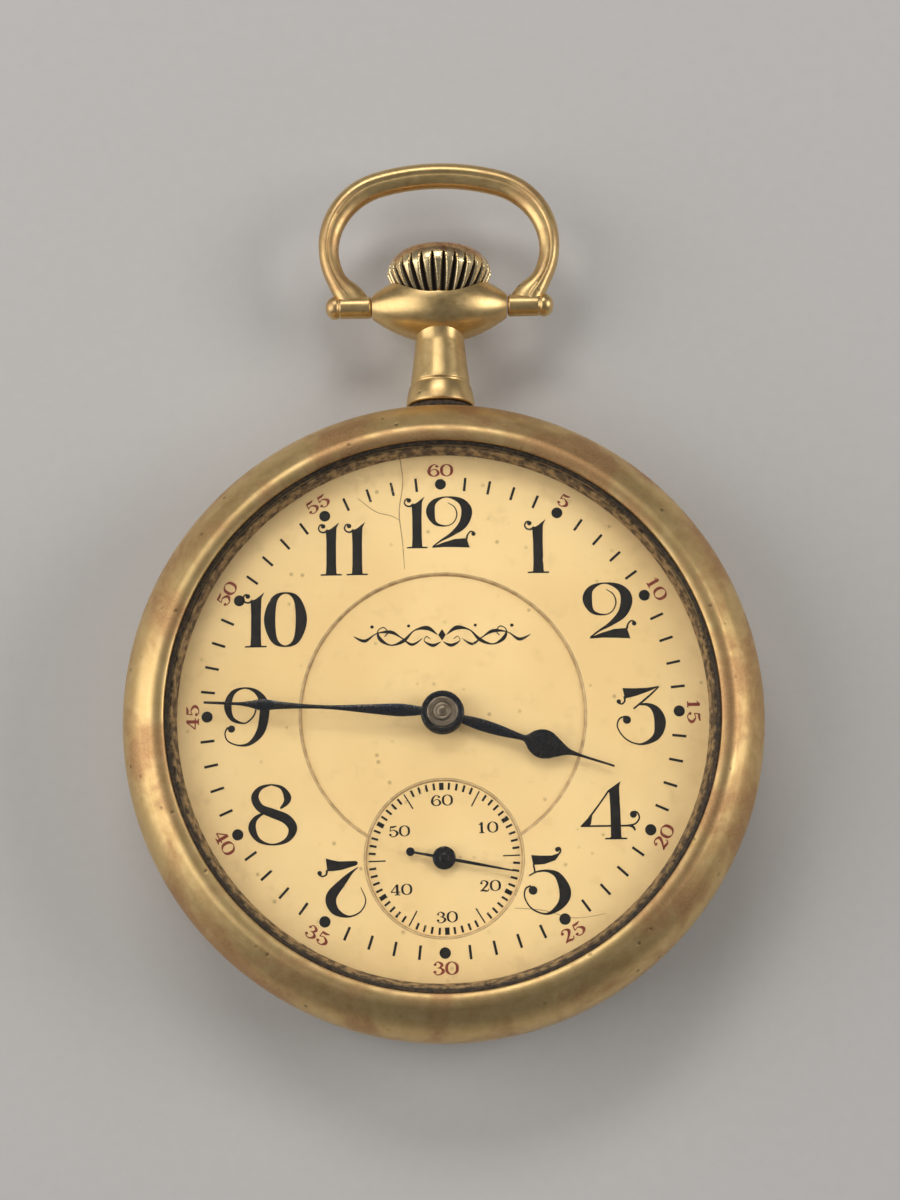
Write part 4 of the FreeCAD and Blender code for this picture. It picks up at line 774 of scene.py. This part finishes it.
def seconds_hand():
    side = [(-2.65, 0.1), (-2.2, 0.09), (0, 0.12), (2.0, 0.12), (4.0, 0.09), (5.5, 0.06)]
    z = SECONDS_HAND_Z
    boss = [(0.0, z), (0.9, z), (0.9, z + 0.12), (0.8, z + 0.2), (0.36, z + 0.22), (0.29, z + 0.27),
            (0.0, z + 0.29)]
    weight = [(0.0, z), (0.34, z), (0.34, z + 0.14), (0.26, z + 0.2), (0.0, z + 0.2)]
    tail = on_dial(2.65, SECONDS_ANGLE + 180, SECONDS_AT)
    hand("seconds_hand_blade", side, SECONDS_AT, z, SECONDS_ANGLE, [(boss, SECONDS_AT), (weight, tail)],
         "fourth", "seconds_hand")


# ---- print on the dial
def pen(*points, closed=False):
    """A pen stroke through (x, y, width): a list of pairs, left side and right side."""
    line = smooth(points, 7, closed)
    pairs = []
    for i, (x, y, w) in enumerate(line):
        if closed and i in (0, len(line) - 1):
            before, after = line[-2], line[1]
        else:
            before, after = line[max(i - 1, 0)], line[min(i + 1, len(line) - 1)]
        dx, dy = after[0] - before[0], after[1] - before[1]
        size = math.hypot(dx, dy) or 1.0
        nx, ny = -dy / size * w / 2, dx / size * w / 2
        pairs.append(((x + nx, y + ny), (x - nx, y - ny)))
    return pairs


def flat(*pairs):
    """A straight-sided mark from pairs of corners."""
    return list(pairs)


def bar(x0, y0, x1, y1, width):
    size = math.hypot(x1 - x0, y1 - y0)
    nx, ny = -(y1 - y0) / size * width / 2, (x1 - x0) / size * width / 2
    return [((x0 + nx, y0 + ny), (x0 - nx, y0 - ny)), ((x1 + nx, y1 + ny), (x1 - nx, y1 - ny))]


def dot(x, y, radius):
    steps = 10
    angles = [math.pi * k / steps for k in range(steps + 1)]
    return [((x - radius * math.sin(max(a, 0.02)), y + radius * math.cos(a)),
             (x + radius * math.sin(max(a, 0.02)), y + radius * math.cos(a))) for a in angles]


def foot(width, thickness=0.026):
    """A slab serif on the base line, with a slight hollow above it."""
    left = [(-width, thickness), (-width * 0.55, thickness * 1.15), (-width * 0.45, thickness * 2)]
    right = [(-x, y) for x, y in reversed(left)]
    return [((x, y), (x, 0.0)) for x, y in left + right]


# Bold figures for the hours: heavy stems, hairlines, curled ends. One unit is the height of a figure.
BOLD = {
    "0": [pen((0, .985, .03), (-.2, .87, .12), (-.285, .5, .205), (-.2, .13, .12), (0, .015, .03),
              (.2, .13, .12), (.285, .5, .205), (.2, .87, .12), closed=True)],
    "1": [flat(((-.098, .02), (.098, .02)), ((-.088, .2), (.09, .2)), ((-.088, .6), (.088, .6)),
              ((-.1, .84), (.095, .84)), ((.0, .885), (.1, .9)), ((.13, .99), (.148, 1.0))), foot(.195),
          pen((-.06, .86, .045), (-.13, .815, .035), (-.2, .83, .03), (-.235, .885, .028),
              (-.21, .95, .028), (-.16, .965, .03)), dot(-.15, .93, .042)],
    "2": [pen((-.023, .875, .012), (.1, .79, .02), (.145, .643, .024), (.08, .49, .02),
              (-.067, .426, .025), (-.27, .484, .075), (-.354, .7, .168), (-.284, .895, .1),
              (-.052, .988, .025), (.22, .905, .12), (.333, .71, .205), (.258, .455, .165),
              (.05, .267, .08), (-.168, .136, .035), (-.315, .025, .03)),
          flat(((-.32, .025), (-.33, .004)), ((-.13, .1), (-.1, .018)), ((.1, .17), (.15, .012)),
              ((.325, .185), (.383, 0))),
          pen((.325, .17, .04), (.345, .25, .03), (.4, .31, .028), (.46, .3, .028)),
          dot(.455, .265, .04)],
    "3": [flat(((-.308, .969), (-.271, .79)), ((-.108, .963), (-.077, .835)), ((.108, .969),
              (.123, .905)), ((.308, 1.0), (.3, .98))),
          pen((-.28, .83, .035), (-.275, .75, .03), (-.325, .7, .028), (-.385, .72, .028)),
          dot(-.375, .742, .038),
          pen((.305, .985, .02), (.108, .806, .035), (-.13, .615, .03)),
          pen((-.05, .69, .03), (.12, .68, .06), (.25, .58, .14), (.31, .375, .195), (.235, .14, .12),
              (-.015, .018, .035), (-.26, .1, .025), (-.405, .3, .022), (-.37, .45, .028),
              (-.25, .49, .03)), dot(-.246, .43, .068)],
    "4": [flat(((-.088, .02), (.09, .02)), ((-.088, .5), (.082, .5)), ((-.1, .8), (.072, .8)),
              ((-.125, .845), (.072, .9)), ((.085, .99), (.098, 1.0))), foot(.19),
          pen((-.11, .84, .03), (-.26, .63, .028), (-.45, .38, .035)),
          flat(((-.607, .236), (-.607, .215)), ((-.45, .4), (-.47, .225)), ((-.4, .44), (-.425, .27))),
          bar(-.56, .232, .24, .232, .032),
          pen((.18, .232, .03), (.33, .262, .03), (.405, .36, .028), (.375, .455, .028),
              (.31, .475, .03)), dot(.305, .425, .06),
          pen((.24, .232, .035), (.3, .205, .04), (.33, .15, .03))],
    "5": [flat(((-.286, 1.0), (-.255, .832)), ((-.124, .988), (-.062, .845)), ((.062, .988), (.124, .91)),
              ((.19, 1.03), (.207, 1.02))),
          pen((.19, 1.02, .03), (.215, 1.07, .03), (.195, 1.118, .028), (.15, 1.115, .03)),
          dot(.16, 1.09, .04),
          pen((-.25, .84, .03), (-.235, .76, .03), (-.225, .69, .03)),
          pen((-.326, .652, .025), (-.186, .72, .03), (0, .727, .05), (.17, .637, .12), (.28, .373, .2),
              (.2, .155, .13), (-.03, .01, .04), (-.28, .093, .028), (-.404, .28, .024),
              (-.388, .435, .028), (-.295, .481, .03)), dot(-.264, .405, .074)],
    "7": [flat(((-.273, 1.0), (-.245, .78)), ((-.2, .975), (-.15, .782)), ((-.05, .945), (.0, .8)),
              ((.12, .947), (.13, .84)), ((.24, .95), (.235, .87)), ((.275, .925), (.262, .885))),
          pen((-.25, .8, .04), (-.265, .72, .03), (-.33, .695, .028), (-.385, .72, .028)),
          dot(-.375, .748, .04),
          pen((.275, .84, .015), (.16, .75, .05), (.02, .6, .12), (-.18, .345, .185), (-.12, .12, .14),
              (.1, .015, .04), (.31, .09, .025), (.405, .28, .02), (.32, .5, .012))],
    "8": [pen((-.02, .988, .025), (-.2, .93, .07), (-.288, .78, .125), (-.2, .61, .13), (0, .52, .15),
              (.23, .42, .16), (.335, .26, .145), (.24, .08, .08), (.01, .008, .03), (-.22, .08, .07),
              (-.33, .27, .125), (-.28, .43, .08), (-.13, .53, .03)),
          pen((-.02, .988, .025), (.15, .935, .06), (.245, .79, .12), (.225, .69, .09),
              (.13, .595, .03))],
    "9": [pen((.17, .72, .02), (.14, .545, .028), (.05, .43, .028), (-.06, .385, .03), (-.25, .47, .08),
              (-.32, .69, .13), (-.235, .91, .08), (-.035, .99, .028), (.17, .92, .08), (.295, .73, .155),
              (.3, .49, .165), (.235, .23, .14), (.07, .045, .07), (-.12, .007, .03), (-.31, .08, .025),
              (-.365, .21, .022), (-.32, .32, .03)), dot(-.255, .29, .062)],
}
# Light, wide figures for the minutes and the seconds.
SLIM = {
    "0": [pen((0, .97, .05), (-.3, .8, .13), (-.37, .5, .16), (-.3, .2, .13), (0, .03, .05),
              (.3, .2, .13), (.37, .5, .16), (.3, .8, .13), closed=True)],
    "1": [bar(0, .04, 0, .97, .17), bar(-.22, .035, .22, .035, .07),
          pen((-.25, .74, .05), (-.1, .84, .08), (.03, .96, .1))],
    "2": [dot(-.24, .75, .09),
          pen((-.3, .74, .07), (-.2, .92, .07), (.03, .97, .07), (.27, .77, .16), (.12, .47, .13),
              (-.15, .2, .08), (-.34, .05, .06)),
          pen((-.34, .05, .07), (-.1, .11, .13), (.15, .05, .13), (.33, .09, .06), (.37, .25, .05))],
    "3": [pen((-.29, .78, .06), (-.06, .97, .06), (.23, .77, .15), (.1, .56, .08), (-.08, .52, .05)),
          dot(-.25, .76, .08),
          pen((-.06, .53, .05), (.19, .47, .09), (.32, .26, .17), (.1, .04, .08), (-.15, .03, .06),
              (-.34, .2, .05)), dot(-.27, .23, .09)],
    "4": [bar(.13, .04, .13, .97, .17), bar(-.1, .035, .36, .035, .07), bar(.1, .95, -.38, .3, .07),
          bar(-.41, .28, .38, .28, .07)],
    "5": [bar(-.23, .95, -.28, .5, .06),
          pen((-.24, .9, .12), (.02, .89, .13), (.28, .97, .05)), dot(-.27, .21, .09),
          pen((-.27, .52, .05), (0, .62, .06), (.28, .43, .15), (.3, .23, .16), (.08, .03, .07),
              (-.15, .03, .06), (-.34, .18, .05))],
    "6": [pen((.28, .83, .05), (.03, .97, .05), (-.26, .76, .13), (-.37, .4, .17), (-.25, .13, .12),
              (0, .03, .06), (.24, .13, .12), (.31, .31, .15), (.18, .53, .09), (-.02, .58, .05),
              (-.3, .4, .05)), dot(.22, .81, .09)],
}
# Where the two figures of a double numeral stand, in figure heights from its middle.
BOLD_PLACES = {"10": (-.36, .17), "11": (-.24, .24), "12": (-.45, .16)}
HOUR_HEIGHTS = {1: 4.35, 2: 4.5, 3: 4.65, 4: 4.5, 5: 4.55, 7: 4.55, 8: 4.75, 9: 4.6, 10: 4.4, 11: 4.3,
                12: 4.2}
# Hours that stand a little off their own minute: angle and distance from the middle.
HOUR_SHIFTS = {10: (300.4, 15.15), 2: (58.4, 15.35), 3: (91.2, 15.5), 5: (149.0, 15.55), 7: (210.6, 15.55)}


class Print:
    """Thin raised marks gathered into one mesh."""

    def __init__(self, level, weight=1.0):
        self.level, self.weight = level, weight
        self.verts, self.faces = [], []
        self.count = 0

    def mark(self, pairs, at=(0.0, 0.0), scale=1.0, turn=0.0, stretch=1.0):
        """Adds one stroke, scaled, turned clockwise by turn degrees and moved to at."""
        self.count += 1
        top = self.level + INK_T + 0.0005 * (self.count % 6)
        base = len(self.verts)
        for (x0, y0), (x1, y1) in pairs:
            dx, dy = (x1 - x0) / 2 * (self.weight - 1), (y1 - y0) / 2 * (self.weight - 1)
            for z in (top, self.level):
                for x, y in ((x0 - dx, y0 - dy), (x1 + dx, y1 + dy)):
                    self.verts.append((*turned(x * scale * stretch, y * scale, turn, at), z))
        for i in range(len(pairs) - 1):
            a, b = base + 4 * i, base + 4 * i + 4
            self.faces += [[a, a + 1, b + 1, b], [a + 2, b + 2, b + 3, a + 3], [a, b, b + 2, a + 2],
                           [a + 1, a + 3, b + 3, b + 1]]
        last = base + 4 * (len(pairs) - 1)
        self.faces += [[base, base + 2, base + 3, base + 1], [last, last + 1, last + 3, last + 2]]

    def figures(self, text, style, at, height, turn=0.0, places=None, stretch=1.0, gap=0.92):
        """A number with its middle at a point, turned clockwise by turn degrees."""
        places = places or [gap * stretch * (k - (len(text) - 1) / 2) for k in range(len(text))]
        for figure, along in zip(text, places):
            spot = turned(along * height, -height / 2, turn, at)
            for stroke in style[figure]:
                self.mark(stroke, spot, height, turn, stretch)

    def done(self, name, material):
        piece(name, (self.verts, self.faces), material, "case", sharp=60)


def hour_numerals():
    sheet = Print(RING_Z)
    for hour, height in HOUR_HEIGHTS.items():
        text = str(hour)
        places = BOLD_PLACES.get(text, (0.0,))
        angle, radius = HOUR_SHIFTS.get(hour, (30 * hour, NUMERAL_R))
        sheet.figures(text, BOLD, on_dial(radius, angle), height, places=places)
    sheet.done("hour_numerals", BLACK_INK)


def minute_track():
    sheet = Print(RING_Z)
    for minute in range(60):
        if minute % 5:
            inner, outer = on_dial(TRACK_R - 0.5, 6 * minute), on_dial(TRACK_R + 0.6, 6 * minute)
            sheet.mark(bar(*inner, *outer, 0.2))
        else:
            sheet.mark(dot(*on_dial(TRACK_R, 6 * minute), 0.44))
    sheet.done("minute_track", BLACK_INK)
    red = Print(RING_Z, 1.35)
    for minute in range(5, 65, 5):
        lower = 15 < minute < 45
        turn = 6 * minute + (180 if lower else 0)
        red.figures(str(minute), SLIM, on_dial(RED_R, 6 * minute), 1.02, turn, stretch=1.08)
    red.done("minute_figures", RED_INK)


def seconds_print():
    sheet = Print(SECONDS_Z, 1.2)
    for second in range(60):
        tenth, fifth = second % 10 == 0, second % 5 == 0
        length, width = (0.56, 0.29) if tenth else (1.32, 0.085) if fifth else (0.54, 0.145)
        outer = on_dial(5.86, 6 * second + SECONDS_TURN, SECONDS_AT)
        inner = on_dial(5.86 - length, 6 * second + SECONDS_TURN, SECONDS_AT)
        sheet.mark(bar(*inner, *outer, width))
    for second in range(10, 70, 10):
        a = math.radians(6 * second)
        x, y = 3.95 * math.sin(a), 4.5 * math.cos(a)
        bearing = math.degrees(math.atan2(x, y)) + SECONDS_TURN
        spot = on_dial(math.hypot(x, y), bearing, SECONDS_AT)
        sheet.figures(str(second), SLIM, spot, 0.86, SECONDS_TURN, stretch=1.08)
    sheet.done("seconds_print", BLACK_INK)


def flourish():
    """A plain penman's scroll under the twelve, the same on both sides of its middle."""
    sheet = Print(CENTRE_Z, 1.5)
    scroll = [
        pen((.35, .05, .03), (1.1, .42, .16), (2.1, .3, .05), (2.9, -.25, .14), (3.9, -.5, .05),
            (4.75, -.15, .16), (4.9, .3, .05), (4.45, .48, .04), (4.15, .2, .05), (4.4, -.02, .04)),
        pen((1.5, -.15, .03), (2.3, -.48, .1), (3.1, -.1, .05), (3.9, .22, .13), (5.0, .15, .04),
            (5.9, -.25, .12), (6.75, 0, .03)),
        pen((.1, -.35, .03), (.7, -.54, .12), (1.35, -.3, .04), (1.2, -.05, .04), (.9, -.18, .03)),
        dot(5.35, .52, .09), dot(2.55, .55, .08)]
    for stroke in scroll:
        for side in (stroke, [((-b[0], b[1]), (-a[0], a[1])) for a, b in stroke]):
            sheet.mark(side, (0, 6.25), 1.45, stretch=0.71)
    sheet.mark(flat(((0, 6.75), (0.01, 6.75)), ((-.2, 6.3), (.2, 6.3)), ((0, 5.85), (0.01, 5.85))))
    sheet.done("centre_flourish", BLACK_INK)


def sunk_edge(name, centre, radius, first, last, high, low):
    """The rounded edge of a plate, along an arc between two angles from +X, in degrees."""
    section = [(0.13, high + 0.003), (0.03, high), (-0.05, (high + low) / 2), (-0.13, low + 0.004),
               (-0.13, low - 0.02), (0.13, high - 0.02)]
    steps = max(8, round(abs(last - first)))
    verts = []
    for k in range(steps + 1):
        a = math.radians(first + (last - first) * k / steps)
        for dr, z in section:
            r = radius + dr
            verts.append((centre[0] + r * math.cos(a), centre[1] + r * math.sin(a), z))
    shell = (verts, tube_faces(len(verts), len(section)))
    piece(name, shell, SUNK, "case", sharp=60)


def sunk_edges():
    depth = (CENTRE_R ** 2 + SECONDS_AT[1] ** 2 - SECONDS_R ** 2) / (-2 * SECONDS_AT[1])
    across = math.sqrt(CENTRE_R ** 2 - depth ** 2)
    gap = math.degrees(math.atan2(across, depth))
    rise = math.degrees(math.atan2(-depth - SECONDS_AT[1], across))
    sunk_edge("centre_edge", (0, 0), CENTRE_R, -90 + gap, 270 - gap, RING_Z, CENTRE_Z)
    sunk_edge("seconds_edge_upper", SECONDS_AT, SECONDS_R, rise, 180 - rise, CENTRE_Z, SECONDS_Z)
    sunk_edge("seconds_edge_lower", SECONDS_AT, SECONDS_R, 180 - rise, 360 + rise, RING_Z, SECONDS_Z)


def hairlines():
    """Cracks in the enamel."""
    sheet = Print(RING_Z - 0.008, 1.7)
    sheet.mark(pen((-3.22, 20.6, .05), (-3.0, 18.6, .04), (-3.3, 16.2, .05), (-3.05, 13.8, .04),
                   (-2.9, 11.6, .03)))
    sheet.mark(pen((-6.6, 17.4, .03), (-5.2, 16.3, .04), (-3.9, 15.9, .035), (-3.2, 15.5, .03)))
    sheet.mark(pen((5.4, -15.1, .03), (7.6, -15.3, .035), (9.9, -15.9, .03), (12.4, -15.6, .02)))
    sheet.done("enamel_hairlines", CRACK_INK)


# ---- movement: the CAD parts keep their shapes
CAD_PAINT = [
    (ENAMEL, "dial_ring dial_center dial_seconds"),
    (PLATE_NICKEL, "main_plate"),
    (BRIDGE_NICKEL, "barrel_bridge train_bridge pallet_bridge balance_cock"),
    (RUBY, "plate_jewels train_bridge_jewels pallet_bridge_jewels balance_jewels pallet_stones"),
    (BLUED, "bridge_screws crown_wheel_screw ratchet_screw"),
    (SPRING_STEEL, "hairspring"),
    (GILT, "center_wheel third_wheel fourth_wheel balance_wheel timing_screws minute_wheel"
            " hour_wheel barrel_drum barrel_cover dial_feet"),
    (STEEL, "case_screws mainspring barrel_arbor escape_wheel pallet_fork balance_staff"
            " hairspring_stud regulator cannon_pinion setting_wheel winding_arbor winding_pinion"
            " clutch crown_wheel ratchet_wheel click click_spring clutch_lever setting_lever"
            " case_stem pendant_sleeve"),
]


def paint_cad_parts():
    for material, names in CAD_PAINT:
        for name in names.split():
            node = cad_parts[name]
            if not node.material_slots:
                node.data.materials.append(material)
            for place in node.material_slots:
                place.material = material


# ---- stage
def floor():
    p = Paint("floor_paper")
    fibre = p.noise(0.9, 4.0, 0.6)
    p.finish(Base_Color=p.mix(fibre, (0.62, 0.61, 0.6), (0.66, 0.65, 0.64)), Roughness=0.85,
             Normal=p.bump(fibre, 0.02))
    mesh = bpy.data.meshes.new("floor")
    corners = [(-1, -1), (1, -1), (1, 1), (-1, 1)]
    verts = [Vector((x * FLOOR_HALF, y * FLOOR_HALF, -FLOOR_DROP)) * MM for x, y in corners]
    mesh.from_pydata(verts, [], [(0, 1, 2, 3)])
    mesh.materials.append(p.material)
    made = add_object("floor", mesh)


def softbox(name, azimuth, height, distance, size, power, colour=(1.0, 0.97, 0.93)):
    """A rectangular lamp aimed at the watch, in metres, with the azimuth clockwise from twelve."""
    data = bpy.data.lights.new(name, "AREA")
    data.shape = "RECTANGLE"
    data.size, data.size_y = size
    data.energy = power
    data.color = colour
    lamp = add_object(name, data)
    a, e = math.radians(azimuth), math.radians(height)
    lamp.location = Vector((math.sin(a) * math.cos(e), math.cos(a) * math.cos(e), math.sin(e))) * distance
    lamp.rotation_euler = (-lamp.location).to_track_quat("-Z", "Y").to_euler()


def lights():
    softbox("key_top", 350, 47, 0.6, (0.34, 0.14), 0.85)
    softbox("left_window", 272, 34, 0.52, (0.42, 0.52), 1.42)
    softbox("right_window", 84, 34, 0.6, (0.34, 0.24), 1.1)
    world = bpy.data.worlds.new("studio")
    world.use_nodes = True
    world.node_tree.nodes["Background"].inputs[0].default_value = (0.8, 0.82, 0.85, 1)
    world.node_tree.nodes["Background"].inputs[1].default_value = 0.18
    bpy.context.scene.world = world
    bpy.context.scene.view_settings.view_transform = "Standard"


def camera():
    data = bpy.data.cameras.new("camera")
    data.lens, data.sensor_width = 66.0, 36.0
    data.clip_start, data.clip_end = 0.01, 20.0
    made = add_object("camera", data)
    made.location = Vector(CAMERA_AT) * MM
    made.rotation_euler = Euler([math.radians(a) for a in CAMERA_TURN], "XYZ")
    bpy.context.scene.camera = made


for build in (case_back, case_band, bezel, crystal, pendant, crown, bow, hour_hand, minute_hand,
              seconds_hand, hour_numerals, minute_track, seconds_print, flourish, sunk_edges, hairlines,
              paint_cad_parts, floor, lights, camera):
    build()
